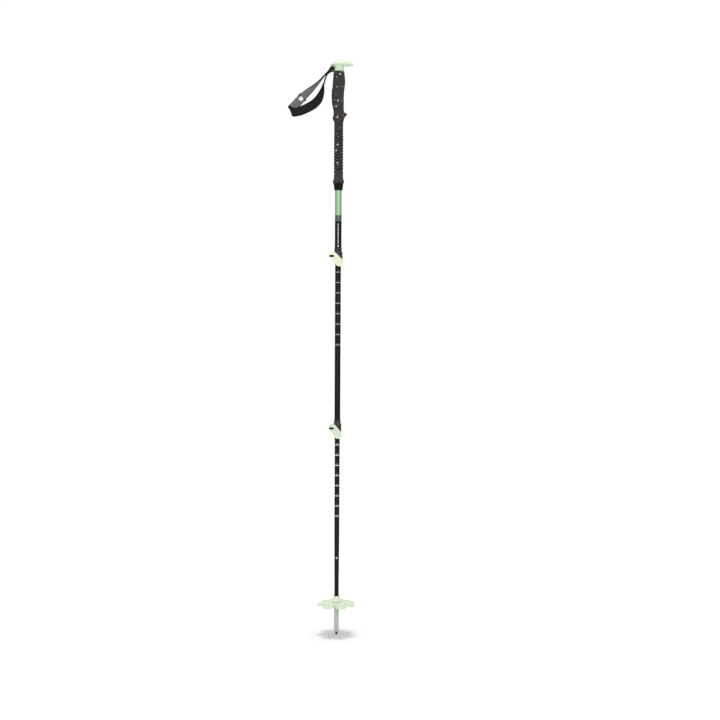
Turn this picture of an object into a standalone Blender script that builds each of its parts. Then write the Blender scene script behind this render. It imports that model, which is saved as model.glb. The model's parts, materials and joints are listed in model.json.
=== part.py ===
"""Telescoping three-section ski pole with two cam-lever locks, a wrist strap and a powder basket.

Frame: the origin is the centre of the flat end of the carbide tip, +Z runs up the shaft, +X is the
side that the palm cap's nose points to, and -Y is the side that the lock levers lie on.
All driving dimensions are in millimetres and are turned into metres by MM.
"""
import math
from collections import namedtuple

import bmesh
import bpy
from mathutils import Matrix, Vector

MM = 0.001
GAP = 0.3

# Tubes: outer radius, wall, and the heights of their ends.
WALL = 0.7
UPPER_R, UPPER_BOTTOM, UPPER_TOP = 8.0, 930.4, 1386.0
MIDDLE_R, MIDDLE_BOTTOM, MIDDLE_TOP = 7.0, 513.4, 990.0
LOWER_R, LOWER_BOTTOM, LOWER_TOP = 6.0, 62.4, 573.0
LOWER_TAPER_TOP, LOWER_TAPER_END, LOWER_END_R = 260.0, 118.0, 5.2
PLUG_SPIGOT, PLUG_FLANGE = 14.0, 4.0

# Grip.
HEAD_BORE_TOP = UPPER_TOP + 0.6
NECK_BOTTOM, NECK_R = 1372.9, 12.6
SPIGOT_BOTTOM, SPIGOT_R = 1350.0, 10.8
CAP_CENTRE_X, CAP_HALF_LENGTH, CAP_HALF_WIDTH = 7.0, 27.0, 17.0
FOAM_BOTTOM = 1252.8
EXTENSION_TOP, EXTENSION_BOTTOM = 1252.5, 1106.9
RIB_TOP, RIB_PITCH, RIB_COUNT, RIB_R, RIB_ROOT_R = 1224.8, 6.85, 13, 11.5, 9.8
END_CAP_TOP, END_CAP_BOTTOM = 1106.6, 1089.6

# Wrist strap: the pin it swings on, its slope, and its webbing.
PIN_X, PIN_Z, PIN_R, PIN_HALF = -18.2, 1377.0, 1.8, 12.8
STRAP_SLOPE = math.radians(41.35)
WEB_WIDTH, WEB_THICKNESS = 20.0, 1.6
PAD_WIDTH, PAD_END_WIDTH, PAD_THICKNESS = 21.5, WEB_WIDTH, 4.0
ANCHOR_EAR_IN, ANCHOR_EAR_OUT, ANCHOR_EAR_R = 10.6, 12.8, 3.8

# Basket, ferrule and tip.
BASKET_R, BASKET_VALLEY_R, PETALS, FIRST_PETAL_DEG = 48.5, 27.0, 7, -21.0
BASKET_BORE_R, BASKET_Z, BASKET_DROP, BASKET_SHEET = 6.7, 82.6, 7.1, 2.0
HUB_TOP, HUB_BOTTOM = 97.4, 83.9
FERRULE_TOP, FERRULE_BOTTOM, SOCKET_FLOOR = 96.9, 7.3, 62.0

# A cam-lever lock: radii of the collar and of the two tubes, heights, and the lever's outline.
Lock = namedtuple("Lock", "name collar_r fixed_r slide_r bottom top fixed_end neck_top pivot_x pivot_z "
                          "hub_r end_r near_dx far_dx far_dz ear_r")
UPPER_LOCK = Lock("upper_lock", 10.8, UPPER_R, MIDDLE_R, 919.0, 943.0, UPPER_BOTTOM, 952.5,
                  -14.7, 931.9, 6.5, 9.8, 3.3, 17.8, -15.1, 8.3)
LOWER_LOCK = Lock("lower_lock", 9.8, MIDDLE_R, LOWER_R, 502.0, 525.5, MIDDLE_BOTTOM, 533.5,
                  -13.7, 514.2, 6.0, 9.4, 3.4, 16.0, -16.2, 7.8)
EAR_IN, EAR_OUT = 1.1, 4.1
BOLT_R, BARREL_R, BARREL_HALF = 1.9, 2.6, 7.6
LEVER_GAP, ARM_THICKNESS, ARM_END_DEG = 0.7, 3.9, -32.0

# Side counts of round shapes.
ROUND, FINE_ROUND, SMALL_ROUND = 28, 32, 16


def clear_scene():
    for obj in list(bpy.context.scene.objects):
        bpy.data.objects.remove(obj, do_unlink=True)


def collection(name):
    group = bpy.data.collections.new(name)
    bpy.context.scene.collection.children.link(group)
    return group


def finish(name, colour, roughness, metallic=0.0):
    """A Principled material with one colour."""
    material = bpy.data.materials.new(name)
    material.use_nodes = True
    shader = material.node_tree.nodes["Principled BSDF"]
    shader.inputs["Base Color"].default_value = (*colour, 1.0)
    shader.inputs["Roughness"].default_value = roughness
    shader.inputs["Metallic"].default_value = metallic
    material.diffuse_color = (*colour, 1.0)
    return material


clear_scene()
PARTS = collection("ski_pole")
CUTTERS = collection("ski_pole_cutters")

MINT = finish("mint_plastic", (0.66, 0.83, 0.62), 0.45)
LEVER_MINT = finish("lever_plastic", (0.78, 0.87, 0.66), 0.4)
BASKET_GREEN = finish("basket_plastic", (0.60, 0.74, 0.55), 0.4)
FERRULE_GREY = finish("ferrule_plastic", (0.46, 0.53, 0.47), 0.45)
FOAM = finish("speckled_foam", (0.075, 0.068, 0.062), 0.9)
RUBBER = finish("black_rubber", (0.03, 0.033, 0.03), 0.7)
LOCK_BLACK = finish("lock_plastic", (0.03, 0.03, 0.032), 0.45)
TUBE_BLACK = finish("black_tube", (0.02, 0.022, 0.023), 0.35, 0.6)
SLEEVE_GREY = finish("sleeve_plastic", (0.25, 0.25, 0.25), 0.6)
STEEL = finish("steel", (0.55, 0.55, 0.55), 0.3, 1.0)
CARBIDE = finish("carbide", (0.18, 0.18, 0.18), 0.35, 1.0)
WEBBING = finish("grey_webbing", (0.12, 0.12, 0.125), 0.9)
PADDING = finish("black_padding", (0.012, 0.012, 0.013), 0.9)


def add_object(name, mesh, material, cutter=False):
    """Link a mesh as a part, or as a hidden cutter."""
    obj = bpy.data.objects.new(name, mesh)
    if cutter:
        obj.hide_render = True
        obj.display_type = "WIRE"
        CUTTERS.objects.link(obj)
    else:
        mesh.materials.append(material)
        PARTS.objects.link(obj)
    return obj


def axis_empty(name, location_mm):
    """An empty on a joint's axis, or at a section's foot, which its pieces are parented to."""
    empty = bpy.data.objects.new(name, None)
    empty.location = Vector(location_mm) * MM
    empty.empty_display_size = 10 * MM
    PARTS.objects.link(empty)
    return empty


def attach(parent, *pieces):
    for piece in pieces:
        piece.location = piece.location - parent.location
        piece.parent = parent


def smooth(mesh, angle_deg=35.0):
    mesh.shade_smooth()
    mesh.set_sharp_from_angle(angle=math.radians(angle_deg))


def turned(name, profile, material, steps=ROUND, base=0.0, closed=False, cutter=False):
    """A shape turned about Z from (radius, height) points that run down its outer side."""
    mesh = bpy.data.meshes.new(name)
    points = [(r * MM, 0.0, (z - base) * MM) for r, z in profile]
    edges = [(i, i + 1) for i in range(len(points) - 1)]
    if closed:
        edges.append((len(points) - 1, 0))
    mesh.from_pydata(points, edges, [])
    obj = add_object(name, mesh, material, cutter)
    obj.location = (0.0, 0.0, base * MM)
    screw = obj.modifiers.new("turn", "SCREW")
    screw.axis = "Z"
    screw.angle = math.tau
    screw.steps = steps
    screw.render_steps = steps
    screw.use_merge_vertices = True
    screw.merge_threshold = 0.00001
    screw.use_smooth_shade = True
    return obj


def tube(name, outer, inner, material, base, steps=ROUND, cutter=False):
    """A hollow turned piece: its outer line from top to bottom and its inner line from top to bottom."""
    return turned(name, outer + list(reversed(inner)), material, steps, base, closed=True, cutter=cutter)


def mesh_from(name, bm, material=None, cutter=False):
    mesh = bpy.data.meshes.new(name)
    bm.to_mesh(mesh)
    bm.free()
    smooth(mesh)
    return add_object(name, mesh, material, cutter)


def cylinder(name, radius, start, end, material=None, segments=SMALL_ROUND, cutter=False):
    """A round bar between two points given in millimetres."""
    start, end = Vector(start), Vector(end)
    bm = bmesh.new()
    bmesh.ops.create_cone(bm, cap_ends=True, segments=segments, radius1=radius * MM, radius2=radius * MM,
                          depth=(end - start).length * MM)
    turn = (end - start).to_track_quat("Z", "Y").to_matrix()
    bmesh.ops.rotate(bm, verts=bm.verts, matrix=turn)
    obj = mesh_from(name, bm, material, cutter)
    obj.location = (start + end) * 0.5 * MM
    return obj


def block(name, low, high, material=None, cutter=False):
    """A box between two corners given in millimetres."""
    low, high = Vector(low), Vector(high)
    bm = bmesh.new()
    bmesh.ops.create_cube(bm, size=1.0)
    bmesh.ops.scale(bm, verts=bm.verts, vec=(high - low) * MM)
    obj = mesh_from(name, bm, material, cutter)
    obj.location = (low + high) * 0.5 * MM
    return obj


def slab(name, outline, low, high, upright=False, material=None, cutter=False):
    """A flat outline given thickness: in XY between two heights, or upright in XZ between two Y."""
    curve = bpy.data.curves.new(name + "_outline", "CURVE")
    curve.dimensions = "2D"
    curve.fill_mode = "BOTH"
    curve.extrude = 0.5 * (high - low) * MM
    spline = curve.splines.new("POLY")
    spline.points.add(len(outline) - 1)
    for point, (x, y) in zip(spline.points, outline):
        point.co = (x * MM, y * MM, 0.0, 1.0)
    spline.use_cyclic_u = True
    sketch = bpy.data.objects.new(name + "_outline", curve)
    bpy.context.scene.collection.objects.link(sketch)
    middle = 0.5 * (high + low) * MM
    if upright:
        sketch.matrix_world = Matrix.Translation((0, middle, 0)) @ Matrix.Rotation(math.pi / 2, 4, "X")
    else:
        sketch.matrix_world = Matrix.Translation((0, 0, middle))
    bpy.context.view_layer.update()
    evaluated = sketch.evaluated_get(bpy.context.evaluated_depsgraph_get())
    mesh = bpy.data.meshes.new_from_object(evaluated)
    bm = bmesh.new()
    bm.from_mesh(mesh)
    bmesh.ops.remove_doubles(bm, verts=bm.verts, dist=0.000001)
    bmesh.ops.recalc_face_normals(bm, faces=bm.faces)
    bm.to_mesh(mesh)
    bm.free()
    mesh.materials.clear()
    smooth(mesh)
    obj = add_object(name, mesh, material, cutter)
    obj.matrix_world = sketch.matrix_world
    bpy.data.objects.remove(sketch, do_unlink=True)
    return obj


def boolean(obj, other, operation):
    modifier = obj.modifiers.new(operation.lower(), "BOOLEAN")
    modifier.operation = operation
    modifier.solver = "EXACT"
    modifier.object = other


def cut(obj, *cutters):
    for cutter in cutters:
        boolean(obj, cutter, "DIFFERENCE")


def arc(centre_x, centre_y, radius, start_deg, end_deg, steps):
    """Points along an arc, in degrees anticlockwise from +X."""
    points = []
    for i in range(steps + 1):
        angle = math.radians(start_deg + (end_deg - start_deg) * i / steps)
        points.append((centre_x + radius * math.cos(angle), centre_y + radius * math.sin(angle)))
    return points


def lofted(name, rings, material, bottom_point=None, top_point=None, cutter=False):
    """A closed skin over rings of points in millimetres, lowest ring first, each anticlockwise."""
    bm = bmesh.new()
    loops = [[bm.verts.new(Vector(p) * MM) for p in ring] for ring in rings]
    count = len(rings[0])
    for lower, upper in zip(loops, loops[1:]):
        for i in range(count):
            j = (i + 1) % count
            bm.faces.new((lower[i], lower[j], upper[j], upper[i]))
    if bottom_point is None:
        bm.faces.new(list(reversed(loops[0])))
    else:
        pole = bm.verts.new(Vector(bottom_point) * MM)
        for i in range(count):
            bm.faces.new((loops[0][(i + 1) % count], loops[0][i], pole))
    if top_point is None:
        bm.faces.new(loops[-1])
    else:
        pole = bm.verts.new(Vector(top_point) * MM)
        for i in range(count):
            bm.faces.new((loops[-1][i], loops[-1][(i + 1) % count], pole))
    bmesh.ops.recalc_face_normals(bm, faces=bm.faces)
    return mesh_from(name, bm, material, cutter)


# ------------------------------------------------------------------------------------------- shafts

def make_upper_shaft():
    outer = [(UPPER_R, UPPER_TOP), (UPPER_R, UPPER_BOTTOM)]
    inner = [(UPPER_R - WALL, UPPER_TOP), (UPPER_R - WALL, UPPER_BOTTOM)]
    return tube("upper_shaft", outer, inner, TUBE_BLACK, UPPER_BOTTOM)


def make_middle_shaft():
    outer = [(MIDDLE_R, MIDDLE_TOP), (MIDDLE_R, MIDDLE_BOTTOM)]
    inner = [(MIDDLE_R - WALL, MIDDLE_TOP), (MIDDLE_R - WALL, MIDDLE_BOTTOM)]
    return tube("middle_shaft", outer, inner, TUBE_BLACK, MIDDLE_BOTTOM)


def make_lower_shaft():
    """The bottom tube tapers from full size to a slim end that sits in the ferrule's socket."""
    ends = [(LOWER_R, LOWER_TOP), (LOWER_R, LOWER_TAPER_TOP), (LOWER_END_R, LOWER_TAPER_END),
            (LOWER_END_R, LOWER_BOTTOM)]
    inner = [(radius - WALL, height) for radius, height in ends]
    return tube("lower_shaft", ends, inner, TUBE_BLACK, LOWER_BOTTOM)


def make_shaft_plug(name, tube_r, tube_top):
    """A plastic stopper with a flange on the tube's end and a spigot inside it."""
    spigot_r = tube_r - WALL - GAP
    seat = tube_top + GAP
    top = seat + PLUG_FLANGE
    bottom = tube_top - PLUG_SPIGOT
    chamfer = 0.8
    profile = [(0, top), (tube_r - chamfer, top), (tube_r, top - chamfer), (tube_r, seat), (spigot_r, seat),
               (spigot_r, bottom + chamfer), (spigot_r - chamfer, bottom), (0, bottom)]
    return turned(name, profile, SLEEVE_GREY, SMALL_ROUND, bottom)


# --------------------------------------------------------------------------------------------- grip

def cap_ring(scale, height):
    """One level of the palm cap: an egg-shaped ring whose front end is the slimmer one."""
    ring = []
    for i in range(ROUND):
        angle = math.tau * i / ROUND
        slim = 1.0 - 0.14 * math.cos(angle)
        x = CAP_CENTRE_X + scale * CAP_HALF_LENGTH * math.cos(angle)
        y = scale * CAP_HALF_WIDTH * slim * math.sin(angle)
        ring.append((x, y, height))
    return ring


def make_grip_head():
    """Palm cap, neck and spigot in one moulding, bored for the shaft and pocketed for the anchor."""
    levels = [(0.40, 1388.2), (0.78, 1387.8), (0.93, 1386.0), (1.00, 1387.6), (0.98, 1389.8), (0.91, 1392.2),
              (0.80, 1394.5), (0.65, 1396.6), (0.47, 1398.4), (0.25, 1399.8)]
    rings = [cap_ring(scale, height) for scale, height in levels]
    head = lofted("grip_head", rings, MINT, (CAP_CENTRE_X, 0, 1388.3), (CAP_CENTRE_X, 0, 1400.3))
    neck_rim = 0.8
    neck = [(0, 1389.6), (16.5, 1389.6), (14.4, 1386.4), (NECK_R + 0.4, 1383.4), (NECK_R, 1380.0),
            (NECK_R, NECK_BOTTOM + neck_rim), (NECK_R - neck_rim, NECK_BOTTOM), (SPIGOT_R, NECK_BOTTOM),
            (SPIGOT_R, SPIGOT_BOTTOM), (0, SPIGOT_BOTTOM)]
    boolean(head, turned("neck_form", neck, None, ROUND, SPIGOT_BOTTOM, cutter=True), "UNION")
    bore_r = UPPER_R + GAP
    bore = cylinder("head_bore", bore_r, (0, 0, SPIGOT_BOTTOM - 5), (0, 0, HEAD_BORE_TOP), None, ROUND, True)
    pocket = block("anchor_pocket", (-30, -7.3, 1373.6), (-10.6, 7.3, 1381.6), cutter=True)
    cut(head, bore, pocket)
    return head


def foam_ring(rear, front, half_depth, height, tilt):
    """One level of the shaped grip; tilt is the rise in height per millimetre towards the front."""
    centre, reach = 0.5 * (rear + front), 0.5 * (front - rear)
    ring = []
    for i in range(ROUND):
        angle = math.tau * i / ROUND
        x = centre + reach * math.cos(angle)
        ring.append((x, half_depth * math.sin(angle), height + tilt * x))
    return ring


def make_grip_foam():
    """The shaped hand grip, from the flat under the ledge up to the head's neck."""
    levels = [(-11.2, 11.0, 11.0, FOAM_BOTTOM, 0.0), (-13.0, 12.4, 12.0, 1257.6, 0.03),
              (-14.6, 14.6, 12.6, 1262.2, 0.12), (-14.9, 18.6, 13.0, 1264.8, 0.22),
              (-14.6, 20.4, 13.2, 1266.6, 0.24), (-13.2, 17.4, 13.0, 1269.4, 0.22),
              (-12.4, 13.6, 12.8, 1274.2, 0.12), (-13.0, 12.4, 12.8, 1280.0, 0.0),
              (-14.5, 12.1, 13.1, 1286.5, 0.0), (-16.2, 12.1, 13.6, 1295.0, 0.0),
              (-17.0, 12.1, 14.0, 1305.0, 0.0), (-17.3, 12.2, 14.2, 1316.0, 0.0),
              (-16.9, 12.8, 14.3, 1326.0, 0.0), (-15.6, 14.0, 14.2, 1334.0, 0.0),
              (-14.8, 14.9, 13.9, 1342.0, 0.0), (-14.4, 14.9, 13.7, 1351.0, 0.0),
              (-13.3, 14.0, 13.2, 1362.0, 0.0), (-12.5, 13.0, 12.7, 1371.4, 0.0),
              (-11.6, 12.2, 11.9, NECK_BOTTOM - GAP, 0.0)]
    rings = [foam_ring(rear, front, depth, z, tilt) for rear, front, depth, z, tilt in levels]
    foam = lofted("grip_foam", rings, FOAM)
    bore = [(0, 1380), (SPIGOT_R + GAP, 1380), (SPIGOT_R + GAP, SPIGOT_BOTTOM - GAP),
            (UPPER_R + GAP, SPIGOT_BOTTOM - GAP), (UPPER_R + GAP, 1250), (0, 1250)]
    cut(foam, turned("foam_bore", bore, None, ROUND, 1250, cutter=True))
    return foam


def make_grip_extension():
    """The lower foam sleeve: a smooth top, a run of ribs, a smooth panel and a flared end."""
    outer = [(9.7, EXTENSION_TOP), (10.7, EXTENSION_TOP - 1.0), (10.7, RIB_TOP + 0.6 * RIB_PITCH)]
    for i in range(RIB_COUNT):
        crest = RIB_TOP - i * RIB_PITCH
        outer += [(RIB_ROOT_R, crest + 0.5 * RIB_PITCH), (RIB_R, crest)]
    outer += [(RIB_ROOT_R + 0.3, 1139.0), (11.1, 1134.0), (11.1, 1120.6), (12.2, 1115.2), (13.4, 1111.4),
              (13.6, 1109.4), (12.4, EXTENSION_BOTTOM)]
    inner = [(UPPER_R + GAP, EXTENSION_TOP), (UPPER_R + GAP, EXTENSION_BOTTOM)]
    return tube("grip_extension", outer, inner, FOAM, EXTENSION_BOTTOM)


def make_end_cap():
    outer = [(11.4, END_CAP_TOP), (12.0, 1105.8), (10.2, 1093.0), (9.7, END_CAP_BOTTOM)]
    inner = [(UPPER_R + GAP, END_CAP_TOP), (UPPER_R + GAP, END_CAP_BOTTOM)]
    return tube("extension_end_cap", outer, inner, RUBBER, END_CAP_BOTTOM)


# -------------------------------------------------------------------------------------- wrist strap

def strap_point(along, across, side):
    """A point relative to the pin: along the strap's slope, across it downwards, and sideways in Y."""
    u = Vector((-math.cos(STRAP_SLOPE), 0.0, -math.sin(STRAP_SLOPE)))
    v = Vector((math.sin(STRAP_SLOPE), 0.0, -math.cos(STRAP_SLOPE)))
    return u * along + v * across + Vector((0.0, side, 0.0))


def smooth_route(knots, per_span):
    """Points of a Catmull-Rom curve through knots that hold a place and a twist."""
    knots = [Vector(k) for k in knots]
    ends = [2 * knots[0] - knots[1]] + knots + [2 * knots[-1] - knots[-2]]
    route = []
    for i in range(1, len(ends) - 2):
        a, b, c, d = ends[i - 1:i + 3]
        for step in range(per_span):
            t = step / per_span
            route.append(0.5 * (2 * b + (c - a) * t + (2 * a - 5 * b + 4 * c - d) * t ** 2
                                + (3 * b - a - 3 * c + d) * t ** 3))
    route.append(knots[-1])
    return route


def band_frames(knots, per_span):
    """Centre, run, width and thickness directions along a twisting band.

    A knot is (along, across, side, twist, lean), with the last two in degrees. At twist 0 the width
    lies along Y, at 90 it lies across the strap's slope, and lean turns it from there along the slope.
    """
    route = smooth_route(knots, per_span)
    centres = [strap_point(*knot[:3]) for knot in route]
    frames = []
    for i, knot in enumerate(route):
        run = (centres[min(i + 1, len(route) - 1)] - centres[max(i - 1, 0)]).normalized()
        twist, lean = math.radians(knot[3]), math.radians(knot[4])
        flat = math.sin(twist)
        width = strap_point(flat * math.sin(lean), flat * math.cos(lean), math.cos(twist))
        width = (width - run * width.dot(run)).normalized()
        frames.append((centres[i], run, width, run.cross(width)))
    return frames


def make_band(name, frames, widths, thickness, material):
    """A closed flat band lofted along its frames, one width for each, placed at the pin."""
    rings = []
    for width, (centre, _, across, through) in zip(widths, frames):
        side, up = across * width / 2, through * thickness / 2
        rings.append([centre - side - up, centre + side - up, centre + side + up, centre - side + up])
    band = lofted(name, rings, material)
    band.location = Vector((PIN_X, 0.0, PIN_Z)) * MM
    return band


FAR_RUN = [(129.5, 5.3, 14.0, 84, 0), (120.0, 3.8, 17.4, 80, 0), (107.0, 2.2, 18.9, 74, 0),
           (95.0, 1.5, 18.8, 64, 0), (82.0, 1.4, 17.0, 52, 0), (69.0, 1.7, 14.2, 37, 0),
           (55.0, 1.8, 10.4, 20, 0), (41.0, 1.6, 6.2, 9, 0), (28.0, 0.3, 2.9, 3, 0),
           (18.0, -0.6, 1.0, 0, 0), (9.0, -1.3, 0.0, 0, 0), (4.0, -2.7, 0.0, 0, 0)]
NEAR_LEAD = [(4.0, 2.7, 0.0, 0, 0), (9.0, 1.7, 0.0, 0, 0), (16.0, 2.6, -0.8, 0, 0), (24.0, 6.4, -2.0, 2, 0),
             (31.0, 10.9, -3.6, 3, 0), (37.6, 15.8, -5.5, 5, 0)]
PAD_RUN = [(39.0, 16.9, -6.0, 6, 0), (49.2, 25.0, -11.0, 22, 0), (62.2, 32.4, -17.0, 46, 0),
           (75.2, 36.4, -20.5, 61, 0), (88.2, 37.0, -22.0, 72, 0), (100.2, 34.8, -22.0, 83, 0),
           (111.2, 31.4, -20.5, 92, 0), (121.2, 27.8, -17.8, 106, 6), (129.8, 22.8, -12.0, 122, 14),
           (135.2, 16.6, -3.5, 104, 22), (136.8, 11.2, 4.5, 90, 24), (135.8, 7.0, 12.0, 90, 12),
           (130.0, 5.2, 18.6, 86, 0), (119.8, 3.8, 21.9, 80, 0), (109.7, 2.5, 23.0, 75, 0),
           (101.8, 1.8, 22.9, 70, 0)]


def make_strap_webbing():
    """One length of webbing: up from the corner, round the pin, and out again to the pad."""
    turn_r = PIN_R + GAP + WEB_THICKNESS / 2
    turn = [(x, y, 0.0, 0.0, 0.0) for x, y in arc(0.0, 0.0, turn_r, 270, 90, 6)]
    frames = band_frames(FAR_RUN + turn + NEAR_LEAD, 2)
    return make_band("strap_webbing", frames, [WEB_WIDTH] * len(frames), WEB_THICKNESS, WEBBING)


def make_strap_pad():
    """The wrist pad: along the near side, round the corner, and back outside the webbing to the slider."""
    frames = band_frames(PAD_RUN, 2)
    taper = 8
    widths = [PAD_WIDTH] * (len(frames) - taper)
    for i in range(taper):
        widths.append(PAD_WIDTH + (PAD_END_WIDTH - PAD_WIDTH) * (i + 1) / taper)
    return make_band("strap_pad", frames, widths, PAD_THICKNESS, PADDING)


def make_strap_slider():
    """A slide clip: two bars across the webbing's outer face, and lips that hold its edges inside."""
    long, wide, deep, bar, lip = 8.6, 22.4, 5.4, 2.8, 0.9
    slot_wide, slot_deep = WEB_WIDTH + 0.8, WEB_THICKNESS + 1.5
    centre, run, width, through = band_frames(FAR_RUN, 2)[6]
    turn = Matrix((run, width, through)).transposed().to_4x4()
    place = Matrix.Translation((Vector((PIN_X, 0.0, PIN_Z)) + centre) * MM) @ turn
    frame = block("strap_slider", (-long / 2, -wide / 2, -deep / 2), (long / 2, wide / 2, deep / 2), LOCK_BLACK)
    slot = block("slider_slot", (-long, -slot_wide / 2, -slot_deep / 2), (long, slot_wide / 2, slot_deep / 2),
                 cutter=True)
    mouth_half = slot_wide / 2 - lip
    mouth = block("slider_mouth", (-long, -mouth_half, -deep), (long, mouth_half, 0.0), cutter=True)
    window_half = long / 2 - bar
    window = block("slider_window", (-window_half, -slot_wide / 2, 0.0), (window_half, slot_wide / 2, deep),
                   cutter=True)
    bevel = frame.modifiers.new("rounded", "BEVEL")
    bevel.width = 0.6 * MM
    bevel.segments = 2
    for piece in (frame, slot, mouth, window):
        piece.matrix_world = place @ Matrix.Translation(piece.location)
    cut(frame, slot, mouth, window)
    return frame


def make_strap_pin():
    return cylinder("strap_pin", PIN_R, (PIN_X, -PIN_HALF, PIN_Z), (PIN_X, PIN_HALF, PIN_Z), STEEL)


def make_strap_anchor():
    """The black yoke in the back of the neck: a tang, two ears for the pin and a tab under the lip."""
    plate_x = -13.0
    room_r = PIN_R + GAP + WEB_THICKNESS + 0.5
    ear = [(plate_x, PIN_Z + ANCHOR_EAR_R)] + arc(PIN_X, PIN_Z, ANCHOR_EAR_R, 90, 270, 12)
    ear += [(plate_x, PIN_Z - ANCHOR_EAR_R)]
    yoke = slab("strap_anchor", ear, -ANCHOR_EAR_OUT, ANCHOR_EAR_OUT, True, LOCK_BLACK)
    tang = block("anchor_tang", (-14.0, -7.0, 1373.9), (-10.9, 7.0, 1381.3), cutter=True)
    tab_line = [(-13.2, 1379.0), (-13.2, 1383.3), (-19.2, 1384.6), (-19.2, 1383.2), (-14.6, 1381.6),
                (-14.6, 1379.0)]
    tab = slab("anchor_tab", tab_line, -6.0, 6.0, True, cutter=True)
    boolean(yoke, tang, "UNION")
    boolean(yoke, tab, "UNION")
    room = cylinder("knuckle_room", room_r, (PIN_X, -ANCHOR_EAR_IN, PIN_Z), (PIN_X, ANCHOR_EAR_IN, PIN_Z),
                    None, ROUND, True)
    mouth = block("knuckle_mouth", (-30.0, -ANCHOR_EAR_IN, PIN_Z - 9.0), (PIN_X, ANCHOR_EAR_IN, PIN_Z + room_r),
                  cutter=True)
    hole = cylinder("pin_hole", PIN_R + GAP, (PIN_X, -20, PIN_Z), (PIN_X, 20, PIN_Z), None, SMALL_ROUND, True)
    cut(yoke, room, mouth, hole)
    return yoke


# -------------------------------------------------------------------------------------- lever locks

def pivot_y(lock):
    """Y of the lever's hinge axis: the lever's hub stands a gap off the near ear."""
    return -(EAR_OUT + GAP + lock.hub_r)


def make_lock_collar(lock):
    """A split clamp ring with a neck above, a lip below, and two ears that the bolt draws together."""
    bore_r = lock.fixed_r + GAP
    neck_r = bore_r + 0.8
    lip_r = lock.slide_r + GAP + 0.05
    lip_top = lock.bottom + 1.2
    edge = 1.6
    outer = [(neck_r - 0.4, lock.neck_top), (neck_r, lock.neck_top - 0.8), (neck_r, lock.top + 2.6),
             (neck_r - 0.3, lock.top + 1.8), (neck_r - 0.3, lock.top), (lock.collar_r - edge, lock.top),
             (lock.collar_r, lock.top - edge), (lock.collar_r, lock.bottom + 1.0),
             (lock.collar_r - 1.0, lock.bottom)]
    solid = [(0, lock.neck_top)] + outer + [(0, lock.bottom)]
    collar = turned(lock.name + "_collar", solid, LOCK_BLACK, FINE_ROUND, lock.bottom)
    ear_x = lock.pivot_x + 1.5
    ear_z = lock.pivot_z + 0.5
    gusset = math.degrees(math.atan2(ear_z - lock.bottom, -ear_x)) - 10.0
    ear = [(-2.0, lock.top - 2.4)] + arc(ear_x, ear_z, lock.ear_r, 80, 270 + gusset - 30, 16)
    ear += [(-7.5, lock.bottom - 2.5), (-2.0, lock.bottom + 2.0)]
    ears = slab(lock.name + "_ears", ear, -EAR_OUT, EAR_OUT, True, cutter=True)
    boolean(collar, ears, "UNION")
    bore = [(0, lock.neck_top + 5), (bore_r, lock.neck_top + 5), (bore_r, lip_top), (lip_r, lip_top),
            (lip_r, lock.bottom - 8), (0, lock.bottom - 8)]
    bore = turned(lock.name + "_bore", bore, None, ROUND, lock.bottom, cutter=True)
    slit = block(lock.name + "_slit", (-40, -EAR_IN, lock.bottom - 8), (-4, EAR_IN, lock.top + 1.0), cutter=True)
    bolt_way = cylinder(lock.name + "_bolt_way", BOLT_R + GAP, (lock.pivot_x, -20, lock.pivot_z),
                        (lock.pivot_x, 20, lock.pivot_z), None, SMALL_ROUND, True)
    cut(collar, bore, slit, bolt_way)
    return collar


def make_lock_sleeve(lock):
    """The split plastic bush below the fixed tube, which the clamp squeezes on to the sliding tube."""
    top = lock.fixed_end - GAP
    bottom = lock.bottom + 1.2 + GAP
    outer = [(lock.fixed_r, top), (lock.fixed_r, bottom)]
    inner = [(lock.slide_r + GAP, top), (lock.slide_r + GAP, bottom)]
    sleeve = tube(lock.name + "_sleeve", outer, inner, SLEEVE_GREY, bottom)
    slot = block(lock.name + "_sleeve_slot", (-20, -0.8, bottom - 2), (-2, 0.8, top + 2), cutter=True)
    cut(sleeve, slot)
    return sleeve


def make_lock_bolt(lock):
    """The clamp bolt: a low socket head on the far side and a shank that ends in the barrel nut."""
    seat = EAR_OUT + GAP + 0.9 + GAP
    head_top = seat + 2.8
    bolt = turned(lock.name + "_bolt", [(0, head_top), (3.3, head_top), (4.0, head_top - 0.9), (4.0, seat),
                                        (BOLT_R, seat), (BOLT_R, pivot_y(lock) - 1.0), (0, pivot_y(lock) - 1.0)],
                  STEEL, SMALL_ROUND)
    bolt.rotation_euler = (-math.pi / 2, 0, 0)
    bolt.location = Vector((lock.pivot_x, 0, lock.pivot_z)) * MM
    socket = cylinder(lock.name + "_socket", 1.6, (lock.pivot_x, seat + 0.8, lock.pivot_z),
                      (lock.pivot_x, seat + 6.0, lock.pivot_z), None, 6, True)
    cut(bolt, socket)
    return bolt


def make_lock_washer(lock):
    washer = tube(lock.name + "_washer", [(4.7, 0.9), (4.7, 0.0)], [(BOLT_R + GAP, 0.9), (BOLT_R + GAP, 0.0)],
                  STEEL, 0.0, SMALL_ROUND)
    washer.rotation_euler = (-math.pi / 2, 0, 0)
    washer.location = Vector((lock.pivot_x, EAR_OUT + GAP, lock.pivot_z)) * MM
    return washer


def make_lock_barrel(lock):
    """The upright cross pin that the bolt screws into and the lever turns on."""
    y = pivot_y(lock)
    barrel = cylinder(lock.name + "_barrel", BARREL_R, (lock.pivot_x, y, lock.pivot_z - BARREL_HALF),
                      (lock.pivot_x, y, lock.pivot_z + BARREL_HALF), STEEL, 24)
    cross = cylinder(lock.name + "_barrel_hole", BOLT_R + GAP, (lock.pivot_x, y - 9, lock.pivot_z),
                     (lock.pivot_x, y + 9, lock.pivot_z), None, SMALL_ROUND, True)
    cut(barrel, cross)
    return barrel


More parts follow.
